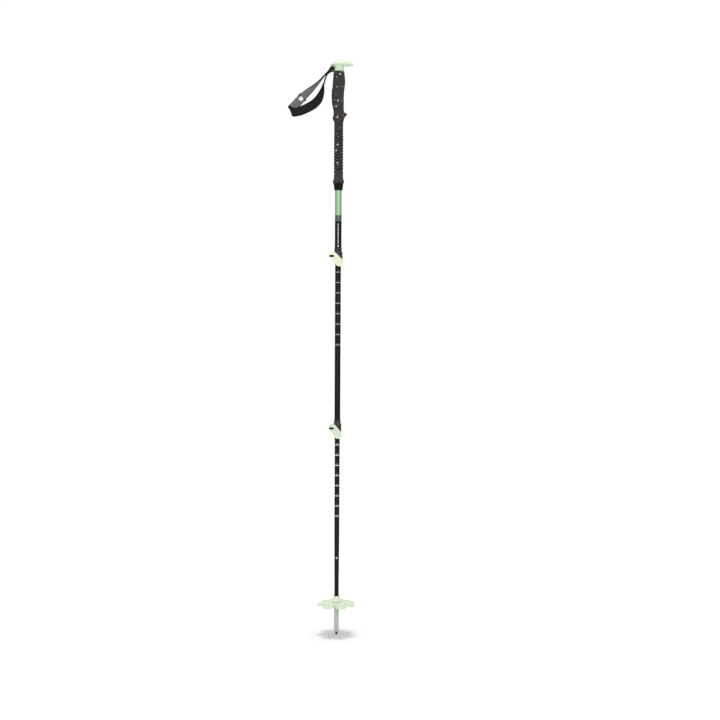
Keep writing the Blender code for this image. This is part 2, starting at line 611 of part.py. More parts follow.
def lever_plan(lock):
    """The lever seen from above: a round hub with an arm that wraps the front of the collar."""
    hub_x, hub_y = lock.pivot_x, pivot_y(lock)
    inner_r = lock.collar_r + LEVER_GAP
    outer_r = inner_r + ARM_THICKNESS
    spread = math.acos((lock.hub_r - outer_r) / math.hypot(hub_x, hub_y))
    tangent = math.degrees(math.atan2(-hub_y, -hub_x) - spread)
    hub_arc = arc(hub_x, hub_y, lock.hub_r, 35, tangent + 360, 20)
    outer_arc = arc(0, 0, outer_r, tangent, ARM_END_DEG, 8)
    inner_arc = arc(0, 0, inner_r, ARM_END_DEG - 2, -137, 12)
    return hub_arc + outer_arc + inner_arc


def lever_face(lock):
    """The lever seen from the front: a broad slanting bar with round ends."""
    near_x, near_z = lock.pivot_x + lock.near_dx, lock.pivot_z
    far_x, far_z = lock.pivot_x + lock.far_dx, lock.pivot_z + lock.far_dz
    slope = math.degrees(math.atan2(far_z - near_z, far_x - near_x))
    return (arc(far_x, far_z, lock.end_r, slope - 90, slope + 90, 14)
            + arc(near_x, near_z, lock.end_r, slope + 90, slope + 270, 14))


def make_lock_lever(lock):
    """The hand lever: its plan and its face crossed, slotted for the bolt and bored for the barrel."""
    y = pivot_y(lock)
    lever = slab(lock.name + "_lever", lever_plan(lock), lock.pivot_z - 35, lock.pivot_z + 15,
                 material=LEVER_MINT)
    face = slab(lock.name + "_lever_face", lever_face(lock), -30, 10, True, cutter=True)
    boolean(lever, face, "INTERSECT")
    slot_end = lock.pivot_x + 5.6
    half = 2.5
    slot = arc(slot_end - half, lock.pivot_z, half, -90, 90, 8) + [(-40, lock.pivot_z + half),
                                                                   (-40, lock.pivot_z - half)]
    slot = slab(lock.name + "_lever_slot", slot, -40, 5, True, cutter=True)
    bore = cylinder(lock.name + "_lever_bore", BARREL_R + GAP, (lock.pivot_x, y, lock.pivot_z - 20),
                    (lock.pivot_x, y, lock.pivot_z + 20), None, 24, True)
    cut(lever, slot, bore)
    return lever


def make_lock(lock, section, lever_axis):
    """All the pieces of one lock, hung on its section, with the lever on its own axis."""
    attach(section, make_lock_collar(lock), make_lock_sleeve(lock), make_lock_bolt(lock),
           make_lock_washer(lock), make_lock_barrel(lock))
    attach(lever_axis, make_lock_lever(lock))


# ---------------------------------------------------------------------------- basket, ferrule, tip

def make_ferrule():
    """The flex tip: a socket for the shaft, a shoulder for the basket and a slim lower leg."""
    shoulder = BASKET_Z - BASKET_SHEET / 2 - GAP
    outer = [(0, SOCKET_FLOOR), (LOWER_END_R + GAP, SOCKET_FLOOR), (LOWER_END_R + GAP, FERRULE_TOP),
             (BASKET_BORE_R - GAP, FERRULE_TOP), (BASKET_BORE_R - GAP, shoulder), (7.5, shoulder),
             (7.5, shoulder - 1.8), (6.2, shoulder - 3.4), (5.9, 55.0), (5.5, 16.0), (5.3, 10.4), (4.5, 8.2),
             (3.4, FERRULE_BOTTOM), (2.3, FERRULE_BOTTOM), (2.3, 18.3), (0, 18.3)]
    return turned("tip_ferrule", outer, FERRULE_GREY, ROUND, 0.0)


def make_carbide_tip():
    """The hard point: a shank in the ferrule and a fluted cone with a small flat end."""
    profile = [(0, 18.0), (2.0, 18.0), (2.0, 7.0), (3.4, 7.0), (3.2, 5.6), (2.1, 2.4), (1.3, 0.0), (0, 0)]
    return turned("carbide_tip", profile, CARBIDE, 24, 0.0)


def basket_height(radius):
    """Mid-height of the sheet: level under the hub, then drooping towards the petals' ends."""
    flat = 12.0
    if radius <= flat:
        return BASKET_Z
    return BASKET_Z - BASKET_DROP * ((radius - flat) / (BASKET_R - flat)) ** 1.3


def petal_reach(phase):
    """Outline radius across one petal: phase runs from -1 to 1 between the two valleys."""
    edge = math.cos(phase * math.pi / 2) ** 0.42
    notch = 1.2 * math.exp(-(phase / 0.16) ** 2)
    return BASKET_VALLEY_R + (BASKET_R - BASKET_VALLEY_R) * edge - notch


def make_basket():
    """Seven drooping petals round a centre hole, as a sheet given thickness."""
    per_petal, rings = 10, 4
    count = PETALS * per_petal
    bm = bmesh.new()
    grid = []
    for ring in range(rings + 1):
        loop = []
        for i in range(count):
            phase = 2.0 * ((i % per_petal) / per_petal) - 1.0
            reach = petal_reach(phase)
            angle = math.radians(FIRST_PETAL_DEG) + math.tau * (i / count - 0.5 / PETALS)
            radius = BASKET_BORE_R + (reach - BASKET_BORE_R) * ring / rings
            point = (radius * math.cos(angle), radius * math.sin(angle), basket_height(radius))
            loop.append(bm.verts.new(Vector(point) * MM))
        grid.append(loop)
    for inner, outer in zip(grid, grid[1:]):
        for i in range(count):
            j = (i + 1) % count
            bm.faces.new((inner[i], outer[i], outer[j], inner[j]))
    basket = mesh_from("basket", bm, BASKET_GREEN)
    sheet = basket.modifiers.new("sheet", "SOLIDIFY")
    sheet.thickness = BASKET_SHEET * MM
    sheet.offset = 0.0
    return basket


def make_basket_hub():
    outer = [(7.6, HUB_TOP), (8.2, HUB_TOP - 0.7), (8.9, 92.4), (10.2, 87.4), (11.4, 84.9), (11.4, HUB_BOTTOM)]
    inner = [(BASKET_BORE_R, HUB_TOP), (BASKET_BORE_R, HUB_BOTTOM)]
    return tube("basket_hub", outer, inner, BASKET_GREEN, HUB_BOTTOM)


# ------------------------------------------------------------------------------------------ assembly

def make_pole():
    upper = axis_empty("upper_section", (0, 0, UPPER_BOTTOM))
    middle = axis_empty("middle_section", (0, 0, MIDDLE_BOTTOM))
    lower = axis_empty("lower_section", (0, 0, 0))
    strap = axis_empty("strap_axis", (PIN_X, 0, PIN_Z))
    upper_lever = axis_empty("upper_lever_axis", (UPPER_LOCK.pivot_x, pivot_y(UPPER_LOCK), UPPER_LOCK.pivot_z))
    lower_lever = axis_empty("lower_lever_axis", (LOWER_LOCK.pivot_x, pivot_y(LOWER_LOCK), LOWER_LOCK.pivot_z))
    attach(upper, make_grip_head(), make_grip_foam(), make_grip_extension(), make_end_cap(),
           make_upper_shaft(), make_strap_anchor(), make_strap_pin())
    attach(middle, make_middle_shaft(), make_shaft_plug("middle_shaft_plug", MIDDLE_R, MIDDLE_TOP))
    attach(lower, make_lower_shaft(), make_shaft_plug("lower_shaft_plug", LOWER_R, LOWER_TOP), make_ferrule(),
           make_carbide_tip(), make_basket(), make_basket_hub())
    attach(strap, make_strap_webbing(), make_strap_pad(), make_strap_slider())
    make_lock(UPPER_LOCK, upper, upper_lever)
    make_lock(LOWER_LOCK, middle, lower_lever)
    attach(middle, lower, lower_lever)
    attach(upper, middle, upper_lever, strap)


make_pole()
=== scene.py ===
"""Looks of the telescoping ski pole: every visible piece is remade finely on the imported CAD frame.

Lengths here are millimetres in the CAD's own frame, and MM turns them into metres. The origin is the
end of the carbide tip, +Z runs up the shaft, +X is the nose of the palm cap, and -Y is the lever side.
"""
import json
import math
from collections import namedtuple

import bmesh
import bpy
from mathutils import Matrix, Vector


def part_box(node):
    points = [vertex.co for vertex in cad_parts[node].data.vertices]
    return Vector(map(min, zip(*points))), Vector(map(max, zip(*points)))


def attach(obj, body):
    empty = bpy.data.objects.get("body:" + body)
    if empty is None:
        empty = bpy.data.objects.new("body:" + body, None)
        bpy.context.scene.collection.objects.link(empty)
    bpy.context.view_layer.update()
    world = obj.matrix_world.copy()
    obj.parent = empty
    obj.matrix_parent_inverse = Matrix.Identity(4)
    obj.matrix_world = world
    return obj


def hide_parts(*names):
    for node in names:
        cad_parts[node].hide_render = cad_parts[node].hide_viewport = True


MM = 0.001
SIDES = 96

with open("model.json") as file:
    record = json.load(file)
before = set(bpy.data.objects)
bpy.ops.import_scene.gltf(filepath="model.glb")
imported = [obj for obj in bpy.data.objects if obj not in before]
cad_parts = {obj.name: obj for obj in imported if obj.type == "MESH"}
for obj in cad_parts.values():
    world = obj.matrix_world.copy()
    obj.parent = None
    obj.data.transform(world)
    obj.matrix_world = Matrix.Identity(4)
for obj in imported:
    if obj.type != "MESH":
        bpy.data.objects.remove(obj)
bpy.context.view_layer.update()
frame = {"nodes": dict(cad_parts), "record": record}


def span(node):
    """A CAD node's lowest and highest corner in millimetres."""
    low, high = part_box(node)
    return low / MM, high / MM


# ----------------------------------------------------------------------------------------- materials

class Look:
    """A Principled material, with short ways to add the nodes that feed it."""

    def __init__(self, name, colour, roughness, metallic=0.0, **sockets):
        self.material = bpy.data.materials.new(name)
        self.material.use_nodes = True
        self.tree = self.material.node_tree
        self.shader = self.tree.nodes["Principled BSDF"]
        self.shader.inputs["Base Color"].default_value = (*colour, 1.0)
        self.shader.inputs["Roughness"].default_value = roughness
        self.shader.inputs["Metallic"].default_value = metallic
        for socket, value in sockets.items():
            self.shader.inputs[socket.replace("_", " ")].default_value = value

    def node(self, kind, inputs, **settings):
        made = self.tree.nodes.new("ShaderNode" + kind)
        for key, value in settings.items():
            setattr(made, key, value)
        for key, value in inputs.items():
            if isinstance(value, bpy.types.NodeSocket):
                self.tree.links.new(value, made.inputs[key])
            else:
                made.inputs[key].default_value = value
        return made

    def place(self, source="Object"):
        return self.node("TexCoord", {}).outputs[source]

    def stretched(self, scale, source="Object"):
        return self.node("Mapping", {"Vector": self.place(source), "Scale": scale}).outputs[0]

    def axes(self, source="Object"):
        return self.node("SeparateXYZ", {0: self.place(source)}).outputs

    def noise(self, scale, detail=3.0, vector=None, roughness=0.55):
        inputs = {"Vector": vector or self.place(), "Scale": scale, "Detail": detail, "Roughness": roughness}
        return self.node("TexNoise", inputs).outputs["Fac"]

    def math(self, operation, first, second=0.0, clamp=False):
        made = self.node("Math", {0: first, 1: second}, operation=operation, use_clamp=clamp)
        return made.outputs[0]

    def rescale(self, value, low, high, new_low=0.0, new_high=1.0):
        inputs = {"Value": value, "From Min": low, "From Max": high, "To Min": new_low, "To Max": new_high}
        return self.node("MapRange", inputs).outputs[0]

    def mix(self, factor, first, second):
        def rgba(value):
            return value if isinstance(value, bpy.types.NodeSocket) else (*value, 1.0)
        return self.node("Mix", {0: factor, 6: rgba(first), 7: rgba(second)}, data_type="RGBA").outputs[2]

    def feed(self, socket, value):
        self.tree.links.new(value, self.shader.inputs[socket])

    def bump(self, height, depth_mm, strength=1.0):
        made = self.node("Bump", {"Height": height, "Distance": depth_mm * MM, "Strength": strength})
        self.feed("Normal", made.outputs[0])


def shade(colour, factor):
    return tuple(c * factor for c in colour)


def moulded(name, colour, roughness=0.42, grain=0.03, **sockets):
    """Moulded plastic: faint flow mottling, uneven gloss, a fine spark-eroded grain and a painted highlight
    on convex edges.
    """
    look = Look(name, colour, roughness, **sockets)
    cloud = look.rescale(look.noise(70.0, 4.0), 0.3, 0.7)
    body = look.mix(cloud, shade(colour, 0.95), shade(colour, 1.03))
    # Painted highlight: convex edges, found from pointiness, are painted a lighter colour, broken up by
    # noise.
    edge = look.rescale(look.node("NewGeometry", {}).outputs["Pointiness"], 0.5, 0.56)
    edge_highlight_and_print_wear = look.math("MULTIPLY", edge, look.rescale(look.noise(420.0, 4.0), 0.35, 0.65, 0.3, 1.0))
    look.feed("Base Color", look.mix(edge_highlight_and_print_wear, body, tuple(min(1.0, 1.18 * c + 0.01) for c in colour)))
    scuff = look.rescale(look.noise(260.0, 5.0), 0.35, 0.75, roughness - 0.06, roughness + 0.12)
    look.feed("Roughness", scuff)
    look.bump(look.noise(2600.0, 2.0), grain, 0.6)
    return look.material


def speckled_foam(name, root_r=None, crest_r=None):
    """Closed-cell foam: warm black, pale irregular flecks of two sizes, and fine open pores.

    Two radii in millimetres paint shade into the grooves that lie between them.
    """
    dark, light, fleck = (0.030, 0.027, 0.025), (0.054, 0.048, 0.045), (0.42, 0.38, 0.34)
    look = Look(name, dark, 0.9, Specular_IOR_Level=0.04)
    warp = look.node("TexNoise", {"Vector": look.place(), "Scale": 420.0, "Detail": 2.0})
    shift = look.node("VectorMath", {0: warp.outputs["Color"], "Scale": 0.0022}, operation="SCALE")
    warped = look.node("VectorMath", {0: look.stretched((1.0, 1.0, 0.75)), 1: shift.outputs[0]},
                       operation="ADD").outputs[0]
    base = look.mix(look.rescale(look.noise(160.0, 5.0), 0.3, 0.7), dark, light)
    flecks = None
    for scale, share, size in ((112.0, 0.45, 0.28), (225.0, 0.68, 0.25)):
        cells = look.node("TexVoronoi", {"Vector": warped, "Scale": scale})
        draw = look.node("SeparateColor", {0: cells.outputs["Color"]}).outputs
        reach = look.rescale(draw[1], 0.0, 1.0, 0.4 * size, size)
        inside = look.rescale(look.math("SUBTRACT", reach, cells.outputs["Distance"]), 0.0, 0.02)
        chosen = look.math("GREATER_THAN", draw[0], share)
        mask = look.math("MULTIPLY", inside, chosen)
        flecks = mask if flecks is None else look.math("MAXIMUM", flecks, mask)
    colour = look.mix(flecks, base, fleck)
    # Painted shade: the colour darkens towards the groove roots, darkest at the inner radius.
    if root_r:
        x, y, _ = look.axes()
        radius = look.math("SQRT", look.math("ADD", look.math("MULTIPLY", x, x), look.math("MULTIPLY", y, y)))
        colour = look.mix(look.rescale(radius, root_r * MM, crest_r * MM), shade(dark, 0.25), colour)
    look.feed("Base Color", colour)
    pores = look.node("TexVoronoi", {"Vector": look.place(), "Scale": 1300.0}).outputs["Distance"]
    height = look.math("ADD", look.math("MULTIPLY", pores, 0.7), look.noise(2400.0, 3.0))
    look.bump(height, 0.12, 0.7)
    look.feed("Roughness", look.rescale(look.noise(500.0), 0.3, 0.7, 0.82, 0.97))
    return look.material


def band_mask(look, height, low, high):
    """1 between two heights in millimetres, 0 outside."""
    above = look.rescale(height, (low - 0.1) * MM, (low + 0.1) * MM)
    below = look.rescale(height, (high - 0.1) * MM, (high + 0.1) * MM, 1.0, 0.0)
    return look.math("MULTIPLY", above, below)


def black_tube(name, bands=(), rings=None):
    """Black anodised tube, with painted bands as (low, high, colour) and its heights in millimetres.

    Printed rings are (top ring's height, pitch, count, width, ink).
    """
    base = (0.017, 0.018, 0.018)
    look = Look(name, base, 0.46, 1.0, Specular_Tint=(0.0, 0.0, 0.0, 1.0))
    height = look.axes()["Z"]
    colour = look.mix(look.rescale(look.noise(900.0, 3.0, look.stretched((1.0, 1.0, 0.08))), 0.3, 0.7),
                      shade(base, 0.85), shade(base, 1.2))
    for low, high, paint in bands:
        colour = look.mix(band_mask(look, height, low, high), colour, paint)
    if rings:
        top, pitch, count, width, ink = rings
        phase = look.math("DIVIDE", look.math("SUBTRACT", height, top * MM), pitch * MM)
        off = look.math("ABSOLUTE", look.math("SUBTRACT", phase, look.math("ROUND", phase)))
        line = look.math("LESS_THAN", off, 0.5 * width / pitch)
        limits = band_mask(look, height, top - (count - 0.5) * pitch, top + 0.5 * pitch)
        edge_highlight_and_print_wear = look.rescale(look.noise(1500.0, 4.0), 0.25, 0.4, 0.7, 1.0)
        colour = look.mix(look.math("MULTIPLY", look.math("MULTIPLY", line, limits), edge_highlight_and_print_wear), colour, ink)
    look.feed("Base Color", colour)
    scratches = look.noise(700.0, 4.0, look.stretched((1.0, 1.0, 0.04)))
    look.feed("Roughness", look.rescale(scratches, 0.3, 0.75, 0.42, 0.56))
    look.bump(scratches, 0.01, 0.3)
    return look.material


def brushed(name, colour, roughness=0.3, stretch=(1.0, 1.0, 0.1)):
    """Turned or brushed metal with fine lines and uneven polish."""
    look = Look(name, colour, roughness, 1.0)
    lines = look.noise(2600.0, 3.0, look.stretched(stretch))
    look.feed("Base Color", look.mix(lines, shade(colour, 0.85), shade(colour, 1.1)))
    look.feed("Roughness", look.rescale(lines, 0.3, 0.7, roughness - 0.08, roughness + 0.12))
    look.bump(lines, 0.01, 0.5)
    return look.material


def woven(name, colour, pitch_across, pitch_along, mark=None, relief=0.12, slant=0.5, sheen=0.0):
    """Woven tape, whose UV map holds millimetres across and along it.

    A printed round mark is (across, along, radius, ink).
    """
    look = Look(name, colour, 0.88, Sheen_Weight=sheen, Sheen_Roughness=0.5, Specular_IOR_Level=0.08)
    across, along, _ = look.axes("UV")
    rib = look.math("SINE", look.math("MULTIPLY", across, math.tau / pitch_across))
    step = look.math("ADD", look.math("MULTIPLY", along, math.tau / pitch_along),
                     look.math("MULTIPLY", across, slant * math.tau / pitch_across))
    weft = look.math("SINE", step)
    height = look.rescale(look.math("MULTIPLY", rib, weft), -1.0, 1.0)
    fuzz = look.noise(2200.0, 3.0)
    # Painted shade: the colour follows the weave's relief, darker in its troughs and lighter on its crests,
    # mixed with random fibre tone.
    tone = look.math("ADD", look.math("MULTIPLY", height, 0.6), look.math("MULTIPLY", fuzz, 0.5), True)
    weave_shade_and_mark = look.mix(tone, shade(colour, 0.62), shade(colour, 1.3))
    if mark:
        x, y, radius, ink = mark
        dx = look.math("SUBTRACT", across, x)
        dy = look.math("SUBTRACT", along, y)
        distance = look.math("SQRT", look.math("ADD", look.math("MULTIPLY", dx, dx),
                                               look.math("MULTIPLY", dy, dy)))
        disc = look.rescale(distance, radius - 0.2, radius + 0.2, 1.0, 0.0)
        weave_shade_and_mark = look.mix(disc, weave_shade_and_mark, look.mix(tone, shade(ink, 0.8), ink))
    look.feed("Base Color", weave_shade_and_mark)
    look.feed("Roughness", look.rescale(fuzz, 0.3, 0.7, 0.8, 0.95))
    look.bump(look.math("ADD", height, look.math("MULTIPLY", fuzz, 0.3)), relief, 0.8)
    return look.material


def knitted(name, colour):
    """Close knit over padding: small round loops."""
    look = Look(name, colour, 0.92, Specular_IOR_Level=0.06)
    loops = look.node("TexVoronoi", {"Vector": look.stretched((1.0, 1.0, 0.7)), "Scale": 1150.0})
    height = look.rescale(loops.outputs["Distance"], 0.0, 0.7, 1.0, 0.0)
    # Painted shade: the colour is darker between the loops and lighter on their crowns, mixed with random
    # tone.
    tone = look.math("MULTIPLY", look.math("ADD", height, look.noise(90.0, 4.0)), 0.6, True)
    look.feed("Base Color", look.mix(tone, shade(colour, 0.6), shade(colour, 1.5)))
    look.feed("Roughness", look.rescale(height, 0.0, 1.0, 0.84, 0.98))
    look.bump(height, 0.15, 0.8)
    return look.material


MINT = moulded("mint_plastic", (0.48, 0.61, 0.44), 0.45, Subsurface_Weight=0.12,
               Subsurface_Radius=(0.003, 0.003, 0.002))
LEVER_UPPER = moulded("lever_plastic_cream", (0.62, 0.67, 0.50), 0.4)
LEVER_LOWER = moulded("lever_plastic_mint", (0.51, 0.61, 0.47), 0.4)
BASKET = moulded("basket_plastic", (0.42, 0.50, 0.365), 0.38, Subsurface_Weight=0.35,
                 Subsurface_Radius=(0.004, 0.005, 0.003))
HUB = moulded("basket_hub_plastic", (0.55, 0.62, 0.50), 0.38, Subsurface_Weight=0.2,
              Subsurface_Radius=(0.003, 0.004, 0.002))
FERRULE = moulded("ferrule_plastic", (0.37, 0.43, 0.37), 0.42)
LOCK_BLACK = moulded("lock_plastic", (0.018, 0.017, 0.016), 0.42, 0.05, Specular_IOR_Level=0.3)
ANCHOR_BLACK = moulded("anchor_plastic", (0.005, 0.005, 0.005), 0.5, 0.05, Specular_IOR_Level=0.15)
BUSH_GREY = moulded("bush_plastic", (0.20, 0.20, 0.20), 0.6)
RUBBER = moulded("black_rubber", (0.007, 0.007, 0.0065), 0.72, 0.08, Specular_IOR_Level=0.05)
FOAM = speckled_foam("speckled_foam")
# Ribbed foam, with painted shade in the grooves between its ribs.
RIBBED_FOAM = speckled_foam("speckled_foam_ribs", 10.0, 10.9)
STEEL = brushed("steel", (0.42, 0.42, 0.42), 0.3)
DARK_STEEL = brushed("blackened_steel", (0.012, 0.012, 0.013), 0.4)
CARBIDE = brushed("carbide", (0.05, 0.05, 0.052), 0.35)
INK = moulded("pale_print", (0.34, 0.37, 0.34), 0.5, 0.01)
FAINT_INK = moulded("faint_print", (0.12, 0.125, 0.12), 0.5, 0.01)
THREAD = moulded("black_thread", (0.012, 0.012, 0.0125), 0.8, 0.02, Specular_IOR_Level=0.1)


# ------------------------------------------------------------------------------------ mesh building

def solid(name, bm, sharp_deg=38.0):
    """A mesh object from a bmesh, its faces pointing out and its curved faces smooth."""
    bmesh.ops.recalc_face_normals(bm, faces=bm.faces)
    mesh = bpy.data.meshes.new(name)
    bm.to_mesh(mesh)
    bm.free()
    mesh.shade_smooth()
    mesh.set_sharp_from_angle(angle=math.radians(sharp_deg))
    obj = bpy.data.objects.new(name, mesh)
    bpy.context.scene.collection.objects.link(obj)
    return obj


def dress(obj, material, body, *replaced, slot=None):
    """Gives a finished piece its material, its body, and the CAD nodes that it stands for."""
    if not obj.data.materials:
        obj.data.materials.append(material)
    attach(obj, body)
    if replaced:
        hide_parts(*replaced)
    return obj


def curve_through(knots, per_span):
    """Points of a Catmull-Rom curve through knots of any dimension."""
    knots = [Vector(k) for k in knots]
    ends = [2 * knots[0] - knots[1]] + knots + [2 * knots[-1] - knots[-2]]
    route = []
    for i in range(1, len(ends) - 2):
        a, b, c, d = ends[i - 1:i + 3]
        for step in range(per_span):
            t = step / per_span
            route.append(0.5 * (2 * b + (c - a) * t + (2 * a - 5 * b + 4 * c - d) * t ** 2
                                + (3 * b - a - 3 * c + d) * t ** 3))
    route.append(knots[-1])
    return route


def arc(centre_x, centre_y, radius, start_deg, end_deg, steps):
    points = []
    for i in range(steps + 1):
        angle = math.radians(start_deg + (end_deg - start_deg) * i / steps)
        points.append((centre_x + radius * math.cos(angle), centre_y + radius * math.sin(angle)))
    return points


def rounded(points, radius, steps=5, closed=False):
    """A line whose corners are rounded by at most the given radius."""
    points = [Vector(p) for p in points]
    count = len(points)
    line = []
    for i in range(count):
        if not closed and i in (0, count - 1):
            line.append(points[i])
            continue
        corner = points[i]
        into, away = points[i - 1] - corner, points[(i + 1) % count] - corner
        reach = min(radius, 0.45 * into.length, 0.45 * away.length)
        start, end = corner + into.normalized() * reach, corner + away.normalized() * reach
        for step in range(steps + 1):
            t = step / steps
            line.append(start * (1 - t) ** 2 + corner * 2 * t * (1 - t) + end * t ** 2)
    return line


def skin_rings(bm, rings, closed=False):
    """Faces between neighbouring rings of vertices; a ring of one vertex is a pole."""
    pairs = list(zip(rings, rings[1:]))
    if closed:
        pairs.append((rings[-1], rings[0]))
    for first, second in pairs:
        count = max(len(first), len(second))
        for i in range(count):
            j = (i + 1) % count
            corners = [first[i % len(first)], first[j % len(first)], second[j % len(second)],
                       second[i % len(second)]]
            unique = list(dict.fromkeys(corners))
            if len(unique) > 2:
                bm.faces.new(unique)


def lathe(name, profile, sides=SIDES, closed=False):
    """A shape turned about Z from (radius, height) points in millimetres."""
    bm = bmesh.new()
    rings = []
    for radius, height in profile:
        if radius < 1e-6:
            rings.append([bm.verts.new((0.0, 0.0, height * MM))])
            continue
        ring = []
        for i in range(sides):
            angle = math.tau * i / sides
            x, y = radius * MM * math.cos(angle), radius * MM * math.sin(angle)
            ring.append(bm.verts.new((x, y, height * MM)))
        rings.append(ring)
    skin_rings(bm, rings, closed)
    return solid(name, bm)


def pipe(name, outer, inner, sides=SIDES):
    """A hollow turned piece: outer and inner lines, both from top to bottom."""
    return lathe(name, list(outer) + list(reversed(list(inner))), sides, closed=True)


def loft(name, rings, bottom=None, top=None):
    """A closed skin over rings of points in millimetres, with a pole or a flat end at each end."""
    bm = bmesh.new()
    loops = [[bm.verts.new(Vector(p) * MM) for p in ring] for ring in rings]
    poles = [bm.verts.new(Vector(p) * MM) if p else None for p in (bottom, top)]
    full = ([[poles[0]]] if poles[0] else []) + loops + ([[poles[1]]] if poles[1] else [])
    skin_rings(bm, full)
    if not poles[0]:
        bm.faces.new(list(reversed(loops[0])))
    if not poles[1]:
        bm.faces.new(loops[-1])
    return solid(name, bm)


def slab(name, outline, low, high, upright=False):
    """An outline given thickness: in XY between two heights, or upright in XZ between two Y."""
    bm = bmesh.new()
    ends = []
    for level in (low, high):
        ring = []
        for a, b in outline:
            point = (a, level, b) if upright else (a, b, level)
            ring.append(bm.verts.new(Vector(point) * MM))
        ends.append(ring)
    skin_rings(bm, ends)
    bm.faces.new(list(reversed(ends[0])))
    bm.faces.new(ends[1])
    return solid(name, bm)


def moved(obj, place, turn=Matrix()):
    """Turns a mesh about the origin, then moves it to a place in millimetres."""
    obj.data.transform(Matrix.Translation(Vector(place) * MM) @ turn)
    return obj


def bar(name, radius, start, end, sides=48):
    """A round bar between two points in millimetres."""
    start, end = Vector(start), Vector(end)
    obj = lathe(name, [(0, (end - start).length), (radius, (end - start).length), (radius, 0), (0, 0)], sides)
    return moved(obj, start, (end - start).to_track_quat("Z", "Y").to_matrix().to_4x4())


def block(name, low, high):
    outline = [(low[0], low[1]), (high[0], low[1]), (high[0], high[1]), (low[0], high[1])]
    return slab(name, outline, low[2], high[2])


def drop(obj):
    bpy.data.objects.remove(obj, do_unlink=True)


def baked(obj):
    """The object's mesh becomes what its modifiers make, and the modifiers go."""
    graph = bpy.context.evaluated_depsgraph_get()
    mesh = bpy.data.meshes.new_from_object(obj.evaluated_get(graph))
    obj.modifiers.clear()
    obj.data = mesh
    return obj


def carve(obj, tools, voxel=None, smoothing=0, sharp_deg=38.0):
    """Applies (operation, tool) pairs, then remeshes finely and smooths, which rounds every edge."""
    for operation, tool in tools:
        modifier = obj.modifiers.new(operation, "BOOLEAN")
        modifier.operation = operation
        modifier.solver = "EXACT"
        modifier.object = tool
    if voxel:
        remesh = obj.modifiers.new("voxels", "REMESH")
        remesh.mode = "VOXEL"
        remesh.voxel_size = voxel * MM
        relax = obj.modifiers.new("relax", "SMOOTH")
        relax.factor = 0.5
        relax.iterations = smoothing
    baked(obj)
    for _, tool in tools:
        drop(tool)
    obj.data.shade_smooth()
    if not voxel:
        obj.data.set_sharp_from_angle(angle=math.radians(sharp_deg))
    return obj


def joined(name, objects):
    """Several meshes as one object of separate closed shells."""
    bm = bmesh.new()
    for obj in objects:
        bm.from_mesh(obj.data)
    made = solid(name, bm)
    for obj in objects:
        drop(obj)
    return made


# ---------------------------------------------------------------------------------------- palm grip

CAP_CENTRE_X, CAP_HALF_LENGTH, CAP_HALF_WIDTH = 7.0, 27.0, 17.0
NECK_R, NECK_BOTTOM = 12.6, 1372.9
SPIGOT_R, SPIGOT_BOTTOM = 10.8, 1350.0
SHAFT_TOP = span("upper_shaft")[1].z
SHAFT_R = span("upper_shaft")[1].x


def cap_ring(scale, height, sides=SIDES):
    """One level of the palm cap: an egg whose nose is its slimmer end."""
    ring = []
    for i in range(sides):
        angle = math.tau * i / sides
        x = CAP_CENTRE_X + scale * CAP_HALF_LENGTH * math.cos(angle)
        y = scale * CAP_HALF_WIDTH * (1.0 - 0.14 * math.cos(angle)) * math.sin(angle)
        ring.append((x, y, height))
    return ring


def palm_cap():
    knots = [(0.25, 1388.3), (0.55, 1388.1), (0.80, 1387.4), (0.95, 1386.3), (1.0, 1387.3), (0.985, 1389.3),
             (0.92, 1391.9), (0.81, 1394.2), (0.66, 1396.5), (0.48, 1398.4), (0.27, 1399.8), (0.1, 1400.3)]
    rings = [cap_ring(scale, height) for scale, height in curve_through(knots, 4)]
    cap = loft("palm_cap", rings, (CAP_CENTRE_X, 0, 1388.3), (CAP_CENTRE_X, 0, 1400.4))
    waist = NECK_R - 0.35
    neck = [(0, 1389.6), (17.5, 1389.2), (15.2, 1387.2), (13.6, 1384.8), (NECK_R, 1382.0), (waist, 1378.5),
            (NECK_R, NECK_BOTTOM + 1.6), (NECK_R + 0.2, NECK_BOTTOM + 0.9), (NECK_R - 0.4, NECK_BOTTOM),
            (SPIGOT_R, NECK_BOTTOM), (SPIGOT_R, SPIGOT_BOTTOM), (0, SPIGOT_BOTTOM)]
    pocket = block("pocket", (-30, -7.3, 1373.6), (-10.6, 7.3, 1381.6))
    carve(cap, [("UNION", lathe("neck", neck)), ("DIFFERENCE", pocket)], 0.5, 7)
    bore = bar("bore", SHAFT_R + 0.3, (0, 0, 1340), (0, 0, SHAFT_TOP + 0.6), SIDES)
    carve(cap, [("DIFFERENCE", bore)])
    return dress(cap, MINT, "upper_section", "grip_head", slot="cap_plastic")


